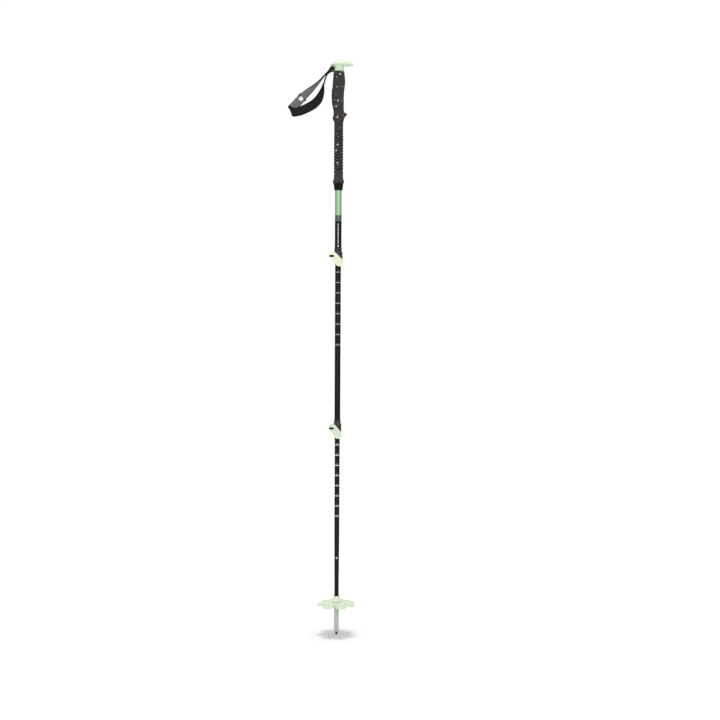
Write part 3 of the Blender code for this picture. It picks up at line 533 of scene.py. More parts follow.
def foam_grip():
    """The hand grip: levels of (rear, front, half depth, height, tilt), smoothed between."""
    low = span("grip_foam")[0].z
    levels = [(-10.4, 10.4, 10.4, low, 0.0), (-11.6, 11.4, 11.3, low + 0.8, 0.01),
              (-13.2, 12.7, 12.2, 1257.4, 0.04), (-14.6, 14.6, 12.6, 1261.8, 0.12),
              (-15.1, 18.8, 13.0, 1264.6, 0.22), (-14.8, 20.6, 13.2, 1266.5, 0.24),
              (-13.4, 17.6, 13.0, 1269.4, 0.22), (-12.4, 13.6, 12.8, 1274.2, 0.12),
              (-13.0, 12.3, 12.8, 1280.0, 0.0), (-14.5, 12.1, 13.1, 1286.5, 0.0),
              (-16.2, 12.1, 13.6, 1295.0, 0.0), (-17.1, 12.1, 14.0, 1305.0, 0.0),
              (-17.4, 12.2, 14.2, 1316.0, 0.0), (-17.0, 12.8, 14.3, 1326.0, 0.0),
              (-15.7, 14.0, 14.2, 1334.0, 0.0), (-14.8, 15.0, 13.9, 1342.0, 0.0),
              (-14.4, 15.0, 13.7, 1351.0, 0.0), (-13.3, 14.0, 13.2, 1362.0, 0.0),
              (-12.6, 13.0, 12.7, 1370.6, 0.0), (-12.2, 12.7, 12.3, 1372.0, 0.0),
              (-11.2, 11.7, 11.4, NECK_BOTTOM - 0.2, 0.0)]
    rings = []
    for rear, front, depth, height, tilt in curve_through(levels, 4):
        ring = []
        for i in range(SIDES):
            angle = math.tau * i / SIDES
            x = 0.5 * (rear + front) + 0.5 * (front - rear) * math.cos(angle)
            ring.append((x, depth * math.sin(angle), height + tilt * x))
        rings.append(ring)
    foam = loft("foam_grip", rings)
    step = SPIGOT_BOTTOM - 0.3
    bore = [(0, 1380), (SPIGOT_R + 0.3, 1380), (SPIGOT_R + 0.3, step), (SHAFT_R + 0.3, step),
            (SHAFT_R + 0.3, low - 5), (0, low - 5)]
    carve(foam, [("DIFFERENCE", lathe("bore", bore))])
    return dress(foam, FOAM, "upper_section", "grip_foam", slot="grip_foam")


def ribbed_sleeve():
    """The lower foam: plain neck, thirteen rounded ribs, a plain panel and a flared foot."""
    low, high = span("grip_extension")
    rib_top, pitch, count, crest_r, root_r = 1224.8, 6.85, 13, 11.5, 9.8
    outer = rounded([(9.0, high.z), (10.7, high.z), (10.7, rib_top + 0.5 * pitch + 1.2)], 0.8)
    for i in range(count):
        crest = rib_top - i * pitch
        for step in range(8):
            phase = step / 8 - 0.5
            swell = math.cos(math.pi * phase) ** 0.8
            outer.append((root_r + (crest_r - root_r) * swell, crest - phase * pitch))
    foot = [(root_r, rib_top - (count - 0.5) * pitch), (10.8, 1136.6), (11.1, 1132.0), (11.1, 1121.0),
            (12.0, 1116.2), (13.1, 1112.6), (13.6, 1110.2), (13.4, 1108.2), (12.3, low.z)]
    outer += [tuple(p) for p in curve_through(foot, 4)]
    inner = [(SHAFT_R + 0.3, high.z), (SHAFT_R + 0.3, low.z)]
    sleeve = pipe("ribbed_sleeve", [tuple(p) for p in outer], inner)
    return dress(sleeve, RIBBED_FOAM, "upper_section", "grip_extension", slot="grip_foam")


def sleeve_badge():
    """A faint plain oval moulded on the sleeve's smooth panel."""
    bm = bmesh.new()
    rings = []
    steps, levels = 40, 5
    for level in range(levels + 1):
        reach = level / levels
        swell = 0.45 * (1.0 - reach ** 4)
        ring = []
        for i in range(1 if level == 0 else steps):
            angle = math.tau * i / steps
            around = -math.pi / 2 + 0.42 * reach * math.cos(angle)
            radius = (11.0 + swell) * MM
            height = (1128.6 + 7.4 * reach * math.sin(angle)) * MM
            ring.append(bm.verts.new((radius * math.cos(around), radius * math.sin(around), height)))
        rings.append(ring)
    skin_rings(bm, rings)
    badge = solid("sleeve_badge", bm)
    shell = badge.modifiers.new("back", "SOLIDIFY")
    shell.thickness = 0.3 * MM
    return dress(baked(badge), FOAM, "upper_section", slot="grip_foam")


def end_cone():
    low, high = span("extension_end_cap")
    outer = rounded([(9.2, high.z), (11.7, high.z), (12.0, high.z - 0.8), (11.3, 1101.8), (10.1, 1093.0),
                     (9.8, low.z), (9.0, low.z)], 0.9)
    cone = pipe("end_cone", outer, [(SHAFT_R + 0.3, high.z), (SHAFT_R + 0.3, low.z)])
    return dress(cone, RUBBER, "upper_section", "extension_end_cap", slot="black_rubber")


# ------------------------------------------------------------------------------------------- shafts

MARK_COUNT = 8
MIDDLE_MARKS, LOWER_MARKS = (893.1, 25.14), (472.4, 25.13)
FIRST_NUMBER, NUMBER_STEP = 140, 5
MINT_PAINT, GREY_PAINT = (0.28, 0.45, 0.29), (0.09, 0.135, 0.10)


def tube_piece(name, node, outer, material):
    wall, edge = 0.7, 0.35
    inner = [(radius - wall, height) for radius, height in outer]
    (top_r, top), (bottom_r, bottom) = outer[0], outer[-1]
    skin = [(top_r - edge, top)] + outer + [(bottom_r - edge, bottom)]
    tube = pipe(name, rounded(skin, 0.25, 3), inner)
    return dress(tube, material, BODY_OF[node], node, slot="black_tube")


BODY_OF = {node: body for body, nodes in frame["record"]["behaviour"]["bodies"].items() for node in nodes}


def shafts():
    for name, bands, rings in (
            ("upper", ((1030.0, 1095.0, MINT_PAINT), (1015.5, 1030.0, GREY_PAINT)), None),
            ("middle", (), (*MIDDLE_MARKS, MARK_COUNT, 1.7, (0.34, 0.35, 0.34))),
            ("lower", (), (*LOWER_MARKS, MARK_COUNT, 2.1, (0.55, 0.54, 0.55)))):
        node = name + "_shaft"
        low, high = span(node)
        outer = [(high.x, high.z), (high.x, low.z)]
        if name == "lower":
            outer = [(high.x, high.z), (high.x, 262.0), (high.x - 0.02, 256.0), (5.2, 120.0), (5.2, low.z)]
        tube_piece(name + "_tube", node, outer, black_tube(name + "_tube_black", bands, rings))


def wrapped(outline_mesh, radius, angle_deg, height, lift=0.06):
    """Bends a flat mesh in X and Y round the shaft: X runs round it and Y runs up it."""
    for vertex in outline_mesh.vertices:
        x, y, z = vertex.co
        around = math.radians(angle_deg) + x / (radius * MM)
        reach = (radius + (lift if z > 0 else -0.1)) * MM
        vertex.co = (reach * math.cos(around), reach * math.sin(around), y + height * MM)
    return outline_mesh


def printed(outline, radius, angle_deg, height):
    """A flat outline in X and Y, given a little thickness, gridded finely and bent round a tube."""
    flat = slab("print", outline, -0.1, 0.1)
    bm = bmesh.new()
    bm.from_mesh(flat.data)
    drop(flat)
    low, high = min(a for a, _ in outline), max(a for a, _ in outline)
    cuts = int((high - low) / 0.3)
    for cut in range(1, cuts):
        bmesh.ops.bisect_plane(bm, geom=bm.verts[:] + bm.edges[:] + bm.faces[:],
                               plane_co=((low + (high - low) * cut / cuts) * MM, 0, 0), plane_no=(1, 0, 0))
    mark = solid("print", bm)
    wrapped(mark.data, radius, angle_deg, height)
    return mark


def pill(half_width, half_height, steps=10):
    reach = half_height - half_width
    return arc(0, reach, half_width, 0, 180, steps) + arc(0, -reach, half_width, 180, 360, steps)


def shaft_print():
    """Generic print on the top tube: a broken line that ends in a dot, on the front and on the back."""
    pieces = []
    for angle in (-90.0, 90.0):
        height = 1010.0
        for i in range(10):
            half = (2.1, 1.6, 2.3)[i % 3]
            pieces.append(printed(pill(1.55, half), SHAFT_R, angle, height - half))
            height -= 2 * half + 0.9
        pieces.append(printed(pill(1.8, 3.0), SHAFT_R, angle, 956.4))
    return dress(joined("shaft_print", pieces), INK, "upper_section", slot="steel")


def length_numbers(section, marks, ink):
    """Small generic numbers beside a tube's length marks, one for every ring."""
    top, pitch = marks
    radius = span(section + "_shaft")[1].x
    pieces = []
    for i in range(MARK_COUNT):
        text = bpy.data.curves.new("digits", "FONT")
        text.body = str(FIRST_NUMBER - NUMBER_STEP * i)
        text.size = 3.4 * MM
        text.extrude = 0.1 * MM
        text.align_x = "CENTER"
        text.resolution_u = 3
        sketch = bpy.data.objects.new("digits", text)
        bpy.context.scene.collection.objects.link(sketch)
        bpy.context.view_layer.update()
        mesh = bpy.data.meshes.new_from_object(sketch.evaluated_get(bpy.context.evaluated_depsgraph_get()))
        drop(sketch)
        wrapped(mesh, radius, -90.0, top - i * pitch + 2.2)
        number = bpy.data.objects.new("number", mesh)
        pieces.append(number)
    bm = bmesh.new()
    for number in pieces:
        bm.from_mesh(number.data)
        drop(number)
    bmesh.ops.remove_doubles(bm, verts=bm.verts, dist=0.000002)
    return dress(solid(section + "_tube_numbers", bm), ink, section + "_section", slot="steel")


def plain_mark():
    """A small plain disc printed low on the bottom tube."""
    disc = printed(arc(0, 0, 2.4, 0, 345, 23), 5.62, -90.0, 193.0)
    disc.name = "lower_shaft_dot"
    return dress(disc, INK, "lower_section", slot="steel")


# ------------------------------------------------------------------------------------------ the locks

Lock = namedtuple("Lock", "name section lever collar_r fixed_r slide_r bottom top neck_top hub_r end_r "
                          "near_dx far_dx far_dz ear_r look")
LOCKS = (Lock("upper_lock", "upper_section", "upper_lever", 10.8, 8.0, 7.0, 919.0, 943.0, 952.5, 6.5, 9.8,
              3.3, 17.8, -15.1, 8.3, LEVER_UPPER),
         Lock("lower_lock", "middle_section", "lower_lever", 9.8, 7.0, 6.0, 502.0, 525.5, 533.5, 6.0, 9.4,
              3.4, 16.0, -16.2, 7.8, LEVER_LOWER))
EAR_IN, EAR_OUT, BOLT_R, BARREL_R = 1.1, 4.1, 1.9, 2.6


def pivot(lock):
    low, high = span(lock.name + "_barrel")
    return (low + high) / 2


def collar(lock):
    """The clamp ring with its ears, its edges rounded as a moulding's are."""
    hinge = pivot(lock)
    bore_r, neck_r = lock.fixed_r + 0.3, lock.fixed_r + 1.15
    groove_r = neck_r - 0.35
    outer = [(0, lock.neck_top), (neck_r, lock.neck_top), (neck_r, lock.top + 2.4),
             (groove_r, lock.top + 1.7), (groove_r, lock.top), (lock.collar_r - 1.6, lock.top),
             (lock.collar_r, lock.top - 1.6),
             (lock.collar_r, lock.bottom + 0.9), (lock.collar_r - 0.9, lock.bottom), (0, lock.bottom)]
    ring = lathe(lock.name + "_ring", outer)
    ear_x, ear_z = hinge.x + 1.5, hinge.z + 0.5
    gusset = math.degrees(math.atan2(ear_z - lock.bottom, -ear_x)) - 10.0
    ear = [(-2.0, lock.top - 2.4)] + arc(ear_x, ear_z, lock.ear_r, 80, 240 + gusset, 40)
    ear += [(-7.6, lock.bottom - 1.6), (-2.0, lock.bottom + 2.0)]
    lip_r, lip_top = lock.slide_r + 0.35, lock.bottom + 1.2
    bore = lathe("bore", [(0, lock.neck_top + 5), (bore_r, lock.neck_top + 5), (bore_r, lip_top),
                          (lip_r, lip_top), (lip_r, lock.bottom - 8), (0, lock.bottom - 8)])
    slit = block("slit", (-40, -EAR_IN, lock.bottom - 8), (-4, EAR_IN, lock.top + 1.0))
    carve(ring, [("UNION", slab("ears", ear, -EAR_OUT, EAR_OUT, True)), ("DIFFERENCE", bore),
                 ("DIFFERENCE", slit)], 0.42, 4)
    way = bar("way", BOLT_R + 0.3, (hinge.x, -20, hinge.z), (hinge.x, 20, hinge.z))
    seat = bar("seat", 4.95, (hinge.x, EAR_OUT - 0.25, hinge.z), (hinge.x, EAR_OUT + 5, hinge.z))
    carve(ring, [("DIFFERENCE", way), ("DIFFERENCE", seat)])
    return dress(ring, LOCK_BLACK, lock.section, lock.name + "_collar", slot="lock_plastic")


def lever_distance(lock, x, z):
    """How far a point of the lever's face lies inside its slanting outline with round ends."""
    hinge = pivot(lock)
    near = Vector((hinge.x + lock.near_dx, hinge.z))
    far = Vector((hinge.x + lock.far_dx, hinge.z + lock.far_dz))
    along = far - near
    share = max(0.0, min(1.0, (Vector((x, z)) - near).dot(along) / along.length_squared))
    return lock.end_r - (Vector((x, z)) - near - along * share).length, share


def smooth_step(value):
    value = max(0.0, min(1.0, value))
    return value * value * (3.0 - 2.0 * value)


def lever(lock):
    """The hand lever: a round slotted hub, its slot painted black as shade, and an arm that wraps the collar,
    with a dished thumb face.
    """
    hinge = pivot(lock)
    inner_r = lock.collar_r + 0.7
    outer_r = inner_r + 3.9
    end_deg = -32.0
    spread = math.acos((lock.hub_r - outer_r) / math.hypot(hinge.x, hinge.y))
    tangent = math.degrees(math.atan2(-hinge.y, -hinge.x) - spread)
    plan = (arc(hinge.x, hinge.y, lock.hub_r, 35, tangent + 360, 60)
            + arc(0, 0, outer_r, tangent, end_deg, 30) + arc(0, 0, inner_r, end_deg - 2, -137, 40))
    body = slab(lock.name + "_hand_lever", plan, hinge.z - 35, hinge.z + 15)
    near_x, far_x, far_z = hinge.x + lock.near_dx, hinge.x + lock.far_dx, hinge.z + lock.far_dz
    slope = math.degrees(math.atan2(far_z - hinge.z, far_x - near_x))
    face = slab("face", arc(far_x, far_z, lock.end_r, slope - 90, slope + 90, 40)
                + arc(near_x, hinge.z, lock.end_r, slope + 90, slope + 270, 40), -30, 10, True)
    half, slot_end = 2.5, hinge.x + 5.6
    slot = slab("slot", arc(slot_end - half, hinge.z, half, -90, 90, 16)
                + [(-40, hinge.z + half), (-40, hinge.z - half)], -40, 5, True)
    carve(body, [("INTERSECT", face), ("DIFFERENCE", slot)], 0.4, 4)
    for vertex in body.data.vertices:
        x, y, z = vertex.co / MM
        reach = math.hypot(x, y)
        if y < -2.0 and reach > inner_r + 2.4 and x > hinge.x + 1.0:
            inside, share = lever_distance(lock, x, z)
            dish = 0.75 * smooth_step((inside - 1.5) / 1.6) * smooth_step((share - 0.15) / 0.25)
            vertex.co.x -= dish * MM * x / reach
            vertex.co.y -= dish * MM * y / reach
    bore = bar("bore", BARREL_R + 0.3, (hinge.x, hinge.y, hinge.z - 20), (hinge.x, hinge.y, hinge.z + 20))
    carve(body, [("DIFFERENCE", bore)])
    # Painted shade: the slot's walls take the black anchor material, standing for the shade inside the slot.
    body.data.materials.clear()
    body.data.materials.append(lock.look)
    body.data.materials.append(ANCHOR_BLACK)
    for polygon in body.data.polygons:
        centre = polygon.center / MM
        if abs(centre.z - hinge.z) < half + 0.25 and centre.x < slot_end + 0.6:
            depth = math.hypot(centre.x - hinge.x, centre.y - hinge.y)
            if abs(polygon.normal.z) > 0.75 or depth < lock.hub_r - 0.8 or polygon.normal.x < -0.6:
                polygon.material_index = 1
    return dress(body, lock.look, lock.lever, lock.name + "_lever", slot="lever_plastic")


def lock_hardware(lock):
    """Bolt with a hex socket, washer and barrel, finely turned."""
    hinge = pivot(lock)
    seat = EAR_OUT + 1.5
    head = rounded([(0, seat + 2.8), (3.2, seat + 2.8), (4.0, seat + 1.7), (4.0, seat), (BOLT_R, seat),
                    (BOLT_R, hinge.y - 1.0), (0, hinge.y - 1.0)], 0.4)
    bolt = lathe(lock.name + "_clamp_bolt", head, 48)
    sideways = Matrix.Rotation(-math.pi / 2, 4, "X")
    moved(bolt, (hinge.x, 0, hinge.z), sideways)
    socket = bar("socket", 1.8, (hinge.x, seat + 0.8, hinge.z), (hinge.x, seat + 6, hinge.z), 6)
    carve(bolt, [("DIFFERENCE", socket)])
    dress(bolt, DARK_STEEL, lock.section, lock.name + "_bolt", slot="steel")
    ring = [(BOLT_R + 0.3, 0.9), (4.7, 0.9), (4.7, 0.0), (BOLT_R + 0.3, 0.0)]
    washer = lathe(lock.name + "_flat_washer", rounded(ring, 0.2, 3, True), 48, closed=True)
    moved(washer, (hinge.x, EAR_OUT + 0.3, hinge.z), sideways)
    dress(washer, STEEL, lock.section, lock.name + "_washer", slot="steel")
    low, high = span(lock.name + "_barrel")
    side = [(0, high.z), (BARREL_R, high.z), (BARREL_R, low.z), (0, low.z)]
    nut = lathe(lock.name + "_cross_barrel", rounded(side, 0.4), 48)
    moved(nut, (hinge.x, hinge.y, 0))
    hole = bar("hole", BOLT_R + 0.25, (hinge.x, hinge.y - 9, hinge.z), (hinge.x, hinge.y + 9, hinge.z))
    carve(nut, [("DIFFERENCE", hole)])
    dress(nut, DARK_STEEL, lock.section, lock.name + "_barrel", slot="steel")


# -------------------------------------------------------------------------------------- wrist strap

PIN_X, PIN_Z = -18.2, 1377.0
PIN_R = 1.8
STRAP_SLOPE = math.radians(41.35)
PIN = Vector((PIN_X, 0.0, PIN_Z))
DOWN_SLOPE = Vector((-math.cos(STRAP_SLOPE), 0.0, -math.sin(STRAP_SLOPE)))
ACROSS_SLOPE = Vector((math.sin(STRAP_SLOPE), 0.0, -math.cos(STRAP_SLOPE)))
PIN_ROOM = 0.3
WEB_WIDTH, WEB_THICKNESS = 20.0, 1.5
FAR_RUN = [(129.5, 5.3, 14.0, 84, 0), (120.0, 3.8, 17.4, 80, 0), (107.0, 2.2, 18.9, 74, 0),
           (95.0, 1.5, 18.8, 64, 0), (82.0, 1.4, 17.0, 52, 0), (69.0, 1.7, 14.2, 37, 0),
           (55.0, 1.8, 10.4, 20, 0), (41.0, 1.6, 6.2, 9, 0), (28.0, 0.3, 2.9, 3, 0),
           (18.0, -0.6, 1.0, 0, 0), (9.0, -1.3, 0.0, 0, 0), (4.0, -2.7, 0.0, 0, 0)]
NEAR_LEAD = [(4.0, 2.7, 0.0, 0, 0), (9.0, 1.7, 0.0, 0, 0), (16.0, 2.6, -0.8, 0, 0), (24.0, 6.4, -2.0, 2, 0),
             (31.0, 10.9, -3.6, 3, 0), (37.6, 15.8, -5.5, 5, 0)]
PAD_RUN = [(49.2, 25.0, -11.0, 22, 0), (62.2, 32.4, -17.0, 46, 0), (75.2, 36.4, -20.5, 61, 0),
           (88.2, 37.0, -22.0, 72, 0), (100.2, 34.8, -22.0, 83, 0), (111.2, 31.4, -20.5, 92, 0),
           (121.2, 27.8, -17.8, 106, 6), (129.8, 22.8, -12.0, 122, 14), (135.2, 16.6, -3.5, 104, 22),
           (136.8, 11.2, 4.5, 90, 24), (135.8, 7.0, 12.0, 90, 12), (130.0, 5.2, 18.6, 86, 0),
           (119.8, 3.8, 21.9, 80, 0), (109.7, 2.5, 23.0, 75, 0), (101.8, 1.8, 22.9, 70, 0)]
PER_SPAN = 8
Station = namedtuple("Station", "centre run width through travel")


def strap_point(along, across, side):
    """A point in millimetres from its place along the strap's slope, across it, and sideways in Y."""
    return PIN + DOWN_SLOPE * along + ACROSS_SLOPE * across + Vector((0.0, side, 0.0))


def stations(knots):
    """Stations along a twisting tape through (along, across, side, twist, lean) knots, in mm and degrees.

    At twist 0 the width lies along Y, at 90 across the strap's slope, and lean turns it along the slope.
    """
    route = curve_through(knots, PER_SPAN)
    centres = [strap_point(*knot[:3]) for knot in route]
    made, travel = [], 0.0
    for i, knot in enumerate(route):
        run = (centres[min(i + 1, len(route) - 1)] - centres[max(i - 1, 0)]).normalized()
        twist, lean = math.radians(knot[3]), math.radians(knot[4])
        flat = math.sin(twist)
        width = (strap_point(flat * math.sin(lean), flat * math.cos(lean), math.cos(twist))
                 - strap_point(0.0, 0.0, 0.0))
        width = (width - run * width.dot(run)).normalized()
        if i:
            travel += (centres[i] - centres[i - 1]).length
        made.append(Station(centres[i], run, width, run.cross(width), travel))
    return made


def sweep(name, path, section, sides_of=None):
    """A closed strip along stations. section(i) gives its outline as (across, through) points.

    Its UV map holds millimetres across and along, and sides_of(j) gives a face's material index.
    """
    bm = bmesh.new()
    uv = bm.loops.layers.uv.new("tape")
    rings, outlines = [], []
    for i, station in enumerate(path):
        outline = section(i)
        outlines.append(outline)
        rings.append([bm.verts.new((station.centre + station.width * a + station.through * t) * MM)
                      for a, t in outline])
    count = len(outlines[0])
    for i in range(len(path) - 1):
        for j in range(count):
            k = (j + 1) % count
            face = bm.faces.new((rings[i][j], rings[i][k], rings[i + 1][k], rings[i + 1][j]))
            face.material_index = sides_of(j) if sides_of else 0
            places = ((i, j), (i, k), (i + 1, k), (i + 1, j))
            for loop, (a, b) in zip(face.loops, places):
                loop[uv].uv = (outlines[a][b][0], path[a].travel)
    for end in (list(reversed(rings[0])), rings[-1]):
        bm.faces.new(end).material_index = sides_of(0) if sides_of else 0
    return solid(name, bm, 50.0)


def tape_section(width, thickness, steps=14, crown=0.0):
    """A flat tape's outline with round edges, its outer (+) face first; crown puffs both faces."""
    edge = 0.5 * thickness
    half = 0.5 * width - edge
    turns = (math.pi / 4, math.pi / 2, 3 * math.pi / 4)
    line = []
    for i in range(steps + 1):
        share = 2.0 * i / steps - 1.0
        line.append((half * -share, edge + crown * (1.0 - share ** 4)))
    line += [(-half - edge * math.sin(a), edge * math.cos(a)) for a in turns]
    for i in range(steps + 1):
        share = 2.0 * i / steps - 1.0
        line.append((half * share, -edge - crown * (1.0 - share ** 4)))
    line += [(half + edge * math.sin(a), -edge * math.cos(a)) for a in turns]
    return line


def face_side(steps=14):
    """Material index by place on a tape's outline: 0 on the + face, 1 on the - face, 2 on its edges."""
    def side(j):
        if j < steps:
            return 0
        if steps + 4 <= j < 2 * steps + 4:
            return 1
        return 2
    return side


GREY_WEB = (0.165, 0.165, 0.168)
DARK_WEB = (0.032, 0.032, 0.033)
BLACK_WEB = (0.0045, 0.0045, 0.0047)


def webbing():
    """The tape: grey inside the loop, dark outside, and black where it leaves the pin for the pad."""
    turn_r = PIN_R + PIN_ROOM + 0.8
    turn = [(x, y, 0.0, 0.0, 0.0) for x, y in arc(0.0, 0.0, turn_r, 270, 90, 6)]
    path = stations(FAR_RUN + turn + NEAR_LEAD + PAD_RUN[:1])
    short_of_pad = 9.0
    last = next(i for i, s in enumerate(path) if s.travel > path[-1].travel - short_of_pad)
    path = path[:last]
    section = tape_section(WEB_WIDTH, WEB_THICKNESS)
    tape = sweep("strap_tape", path, lambda i: section, face_side())
    turned_at = path[PER_SPAN * (len(FAR_RUN) - 2)].travel
    mark = (0.0, 31.0, 5.3, (0.92, 0.92, 0.92))
    back_mark = (0.0, 66.0, 4.6, (0.55, 0.55, 0.55))
    pitch = (1.7, 1.3)
    for name, colour, printed_mark in (("outside", DARK_WEB, back_mark), ("inside", GREY_WEB, mark),
                                       ("edge", BLACK_WEB, None), ("lead", BLACK_WEB, None)):
        tape.data.materials.append(woven("webbing_" + name, colour, *pitch, printed_mark))
    for polygon in tape.data.polygons:
        travel = sum(tape.data.uv_layers[0].data[i].uv[1] for i in polygon.loop_indices) / polygon.loop_total
        if travel > turned_at - 14.0:
            polygon.material_index = 3
    return dress(tape, None, "strap", "strap_webbing", slot="grey_webbing")


def pad():
    """The wrist pad: crowned body, bound edges and rows of stitches."""
    whole = stations(NEAR_LEAD[1:] + PAD_RUN)
    start = PER_SPAN * (len(NEAR_LEAD) - 2) + 1
    path = whole[start:]
    first, length = path[0].travel, path[-1].travel - path[0].travel
    flap = 32.0

    def shape(i):
        """Width, thickness and crown of the pad at a station."""
        gone = path[i].travel - first
        left = length - gone
        swell = smooth_step(gone / 14.0)
        thin = smooth_step(left / flap)
        width = 20.3 + 1.2 * smooth_step(gone / 10.0) * smooth_step(left / 26.0)
        return width, 1.9 + 0.9 * swell * thin, 0.75 * swell * thin

    def body_section(i):
        width, thickness, crown = shape(i)
        return tape_section(width - 1.2, thickness, 14, crown)

    body = sweep("wrist_pad", path, body_section, face_side())
    for name, colour in (("outside", (0.013, 0.013, 0.0135)), ("lining", (0.075, 0.075, 0.077)),
                         ("edge", (0.004, 0.004, 0.004))):
        body.data.materials.append(knitted("pad_" + name, colour))
    lining, edge, fold_at, far_side = 1, 2, 131.0, 10.0
    for polygon in body.data.polygons:
        centre = polygon.center / MM
        past_fold = (centre - PIN).dot(DOWN_SLOPE) > fold_at
        if polygon.material_index == lining and (past_fold or centre.y < far_side):
            polygon.material_index = edge
    dress(body, None, "strap", "strap_pad", slot="black_padding")

    def binding_section(sign):
        def outline(i):
            width, thickness, _ = shape(i)
            reach, half, back = width / 2, thickness / 2 + 0.45, width / 2 - 3.0
            line = [(back, half - 0.35), (back + 0.5, half), (reach - 0.9, half), (reach - 0.25, half - 0.5),
                    (reach, 0.0), (reach - 0.25, -half + 0.5), (reach - 0.9, -half), (back + 0.5, -half),
                    (back, -half + 0.35)]
            return [(sign * a, t) for a, t in (line if sign > 0 else reversed(line))]
        return outline

    tapes = []
    for sign, name in ((1, "pad_binding_low"), (-1, "pad_binding_high")):
        tape = sweep(name, path, binding_section(sign))
        tapes.append(dress(tape, woven(name + "_weave", (0.003, 0.003, 0.0031), 1.1, 1.0), "strap",
                           slot="black_padding"))
    stitches(path, shape)
    return body


def thread(bm, centre, along, up, length, width=0.42):
    """One stitch: a small plump lozenge of thread."""
    turn = Matrix((along, up.cross(along), up)).transposed().to_4x4()
    size = Matrix.Diagonal((0.5 * length * MM, 0.5 * width * MM, 0.22 * MM, 1.0))
    bmesh.ops.create_uvsphere(bm, u_segments=8, v_segments=5, radius=1.0,
                              matrix=Matrix.Translation(centre * MM) @ turn @ size)


def stitches(path, shape):
    """Two rows of stitches on each face of the binding, and bar tacks across the pad's two ends."""
    bm = bmesh.new()
    pitch, length = 3.1, 2.2
    marks = int((path[-1].travel - path[0].travel) / pitch)
    index = 0
    for mark in range(1, marks):
        travel = path[0].travel + mark * pitch
        while path[index + 1].travel < travel:
            index += 1
        station = path[index]
        share = (travel - station.travel) / (path[index + 1].travel - station.travel)
        ahead = path[index + 1]
        width, thickness, _ = shape(index)
        for sign in (-1, 1):
            reach = sign * (width / 2 - 2.2)
            start, end = station.centre + station.width * reach, ahead.centre + ahead.width * reach
            along = (end - start).normalized()
            for face in (-1, 1):
                through = station.through.lerp(ahead.through, share) * face
                place = start.lerp(end, share) + through * (thickness / 2 + 0.46)
                up = (through - along * through.dot(along)).normalized()
                thread(bm, place, along, up, length)
    for index in (5, 9, len(path) - 8, len(path) - 4):
        station = path[index]
        width, thickness, crown = shape(index)
        for step in range(9):
            offset = (step - 4) * (width - 7.0) / 8
            for face in (-1, 1):
                place = station.centre + station.width * offset
                place = place + station.through * face * (thickness / 2 + crown + 0.08)
                thread(bm, place, station.width, station.through * face, 1.9)
    return dress(solid("strap_stitching", bm), THREAD, "strap", slot="black_padding")


def slider():
    """The slide clip on the webbing, its bars and rails rounded."""
    long, wide, deep, bar_width, lip = 8.0, 21.8, 5.0, 2.6, 0.9
    slot_wide, slot_deep = WEB_WIDTH + 0.5, 3.0
    station = stations(FAR_RUN)[3 * PER_SPAN]
    turn = Matrix((station.run, station.width, station.through)).transposed().to_4x4()
    window_half = long / 2 - bar_width
    clip = block("strap_clip", (-long / 2, -wide / 2, -deep / 2), (long / 2, wide / 2, deep / 2))
    tools = [block("slot", (-long, -slot_wide / 2, -slot_deep / 2), (long, slot_wide / 2, slot_deep / 2)),
             block("mouth", (-long, -slot_wide / 2 + lip, -deep), (long, slot_wide / 2 - lip, 0.0)),
             block("window", (-window_half, -slot_wide / 2, 0.0), (window_half, slot_wide / 2, deep))]
    carve(clip, [("DIFFERENCE", tool) for tool in tools], 0.2, 3)
    moved(clip, station.centre, turn)
    return dress(clip, ANCHOR_BLACK, "strap", "strap_slider", slot="lock_plastic")


def anchor():
    """The yoke that holds the strap's pin, with its tab under the cap's lip."""
    ear_in, ear_out, ear_r, plate_x = 10.6, 12.8, 4.7, -13.0
    room_r = PIN_R + PIN_ROOM + 1.6 + 0.5
    ear = [(plate_x, PIN_Z + ear_r)] + arc(PIN_X, PIN_Z, ear_r, 90, 270, 24) + [(plate_x, PIN_Z - ear_r)]
    yoke = slab("strap_yoke", ear, -ear_out, ear_out, True)
    tab = [(-13.2, 1379.0), (-13.2, 1383.3), (-19.2, 1384.6), (-19.2, 1383.2), (-14.6, 1381.6),
           (-14.6, 1379.0)]
    mouth_half = ear_in + 0.05
    tools = [("UNION", block("tang", (-14.0, -7.0, 1373.9), (-10.9, 7.0, 1381.3))),
             ("UNION", slab("tab", tab, -6.0, 6.0, True)),
             ("DIFFERENCE", bar("room", room_r, (PIN_X, -ear_in, PIN_Z), (PIN_X, ear_in, PIN_Z))),
             ("DIFFERENCE", block("mouth", (-30.0, -mouth_half, PIN_Z - 9.0),
                                  (PIN_X, mouth_half, PIN_Z + room_r)))]
    carve(yoke, tools, 0.28, 3)
    carve(yoke, [("DIFFERENCE", bar("hole", PIN_R + PIN_ROOM, (PIN_X, -20, PIN_Z), (PIN_X, 20, PIN_Z)))])
    dress(yoke, ANCHOR_BLACK, "upper_section", "strap_anchor", slot="lock_plastic")
    half = span("strap_pin")[1].y
    pin = lathe("strap_cross_pin", rounded([(0, half), (PIN_R, half), (PIN_R, -half), (0, -half)], 0.35), 48)
    moved(pin, PIN, Matrix.Rotation(math.pi / 2, 4, "X"))
    dress(pin, ANCHOR_BLACK, "upper_section", "strap_pin", slot="steel")


# ------------------------------------------------------------------------------ basket, ferrule, tip

PETALS, FIRST_PETAL_DEG = 7, -21.0
BASKET_R, VALLEY_R, BORE_R = 48.5, 27.0, 6.7
BASKET_Z, BASKET_DROP = 82.6, 7.1


def petal_reach(phase):
    edge = math.cos(phase * math.pi / 2) ** 0.42
    return VALLEY_R + (BASKET_R - VALLEY_R) * edge - 1.2 * math.exp(-(phase / 0.16) ** 2)


def basket_middle(radius):
    flat = 12.0
    if radius <= flat:
        return BASKET_Z
    return BASKET_Z - BASKET_DROP * ((radius - flat) / (BASKET_R - flat)) ** 1.3


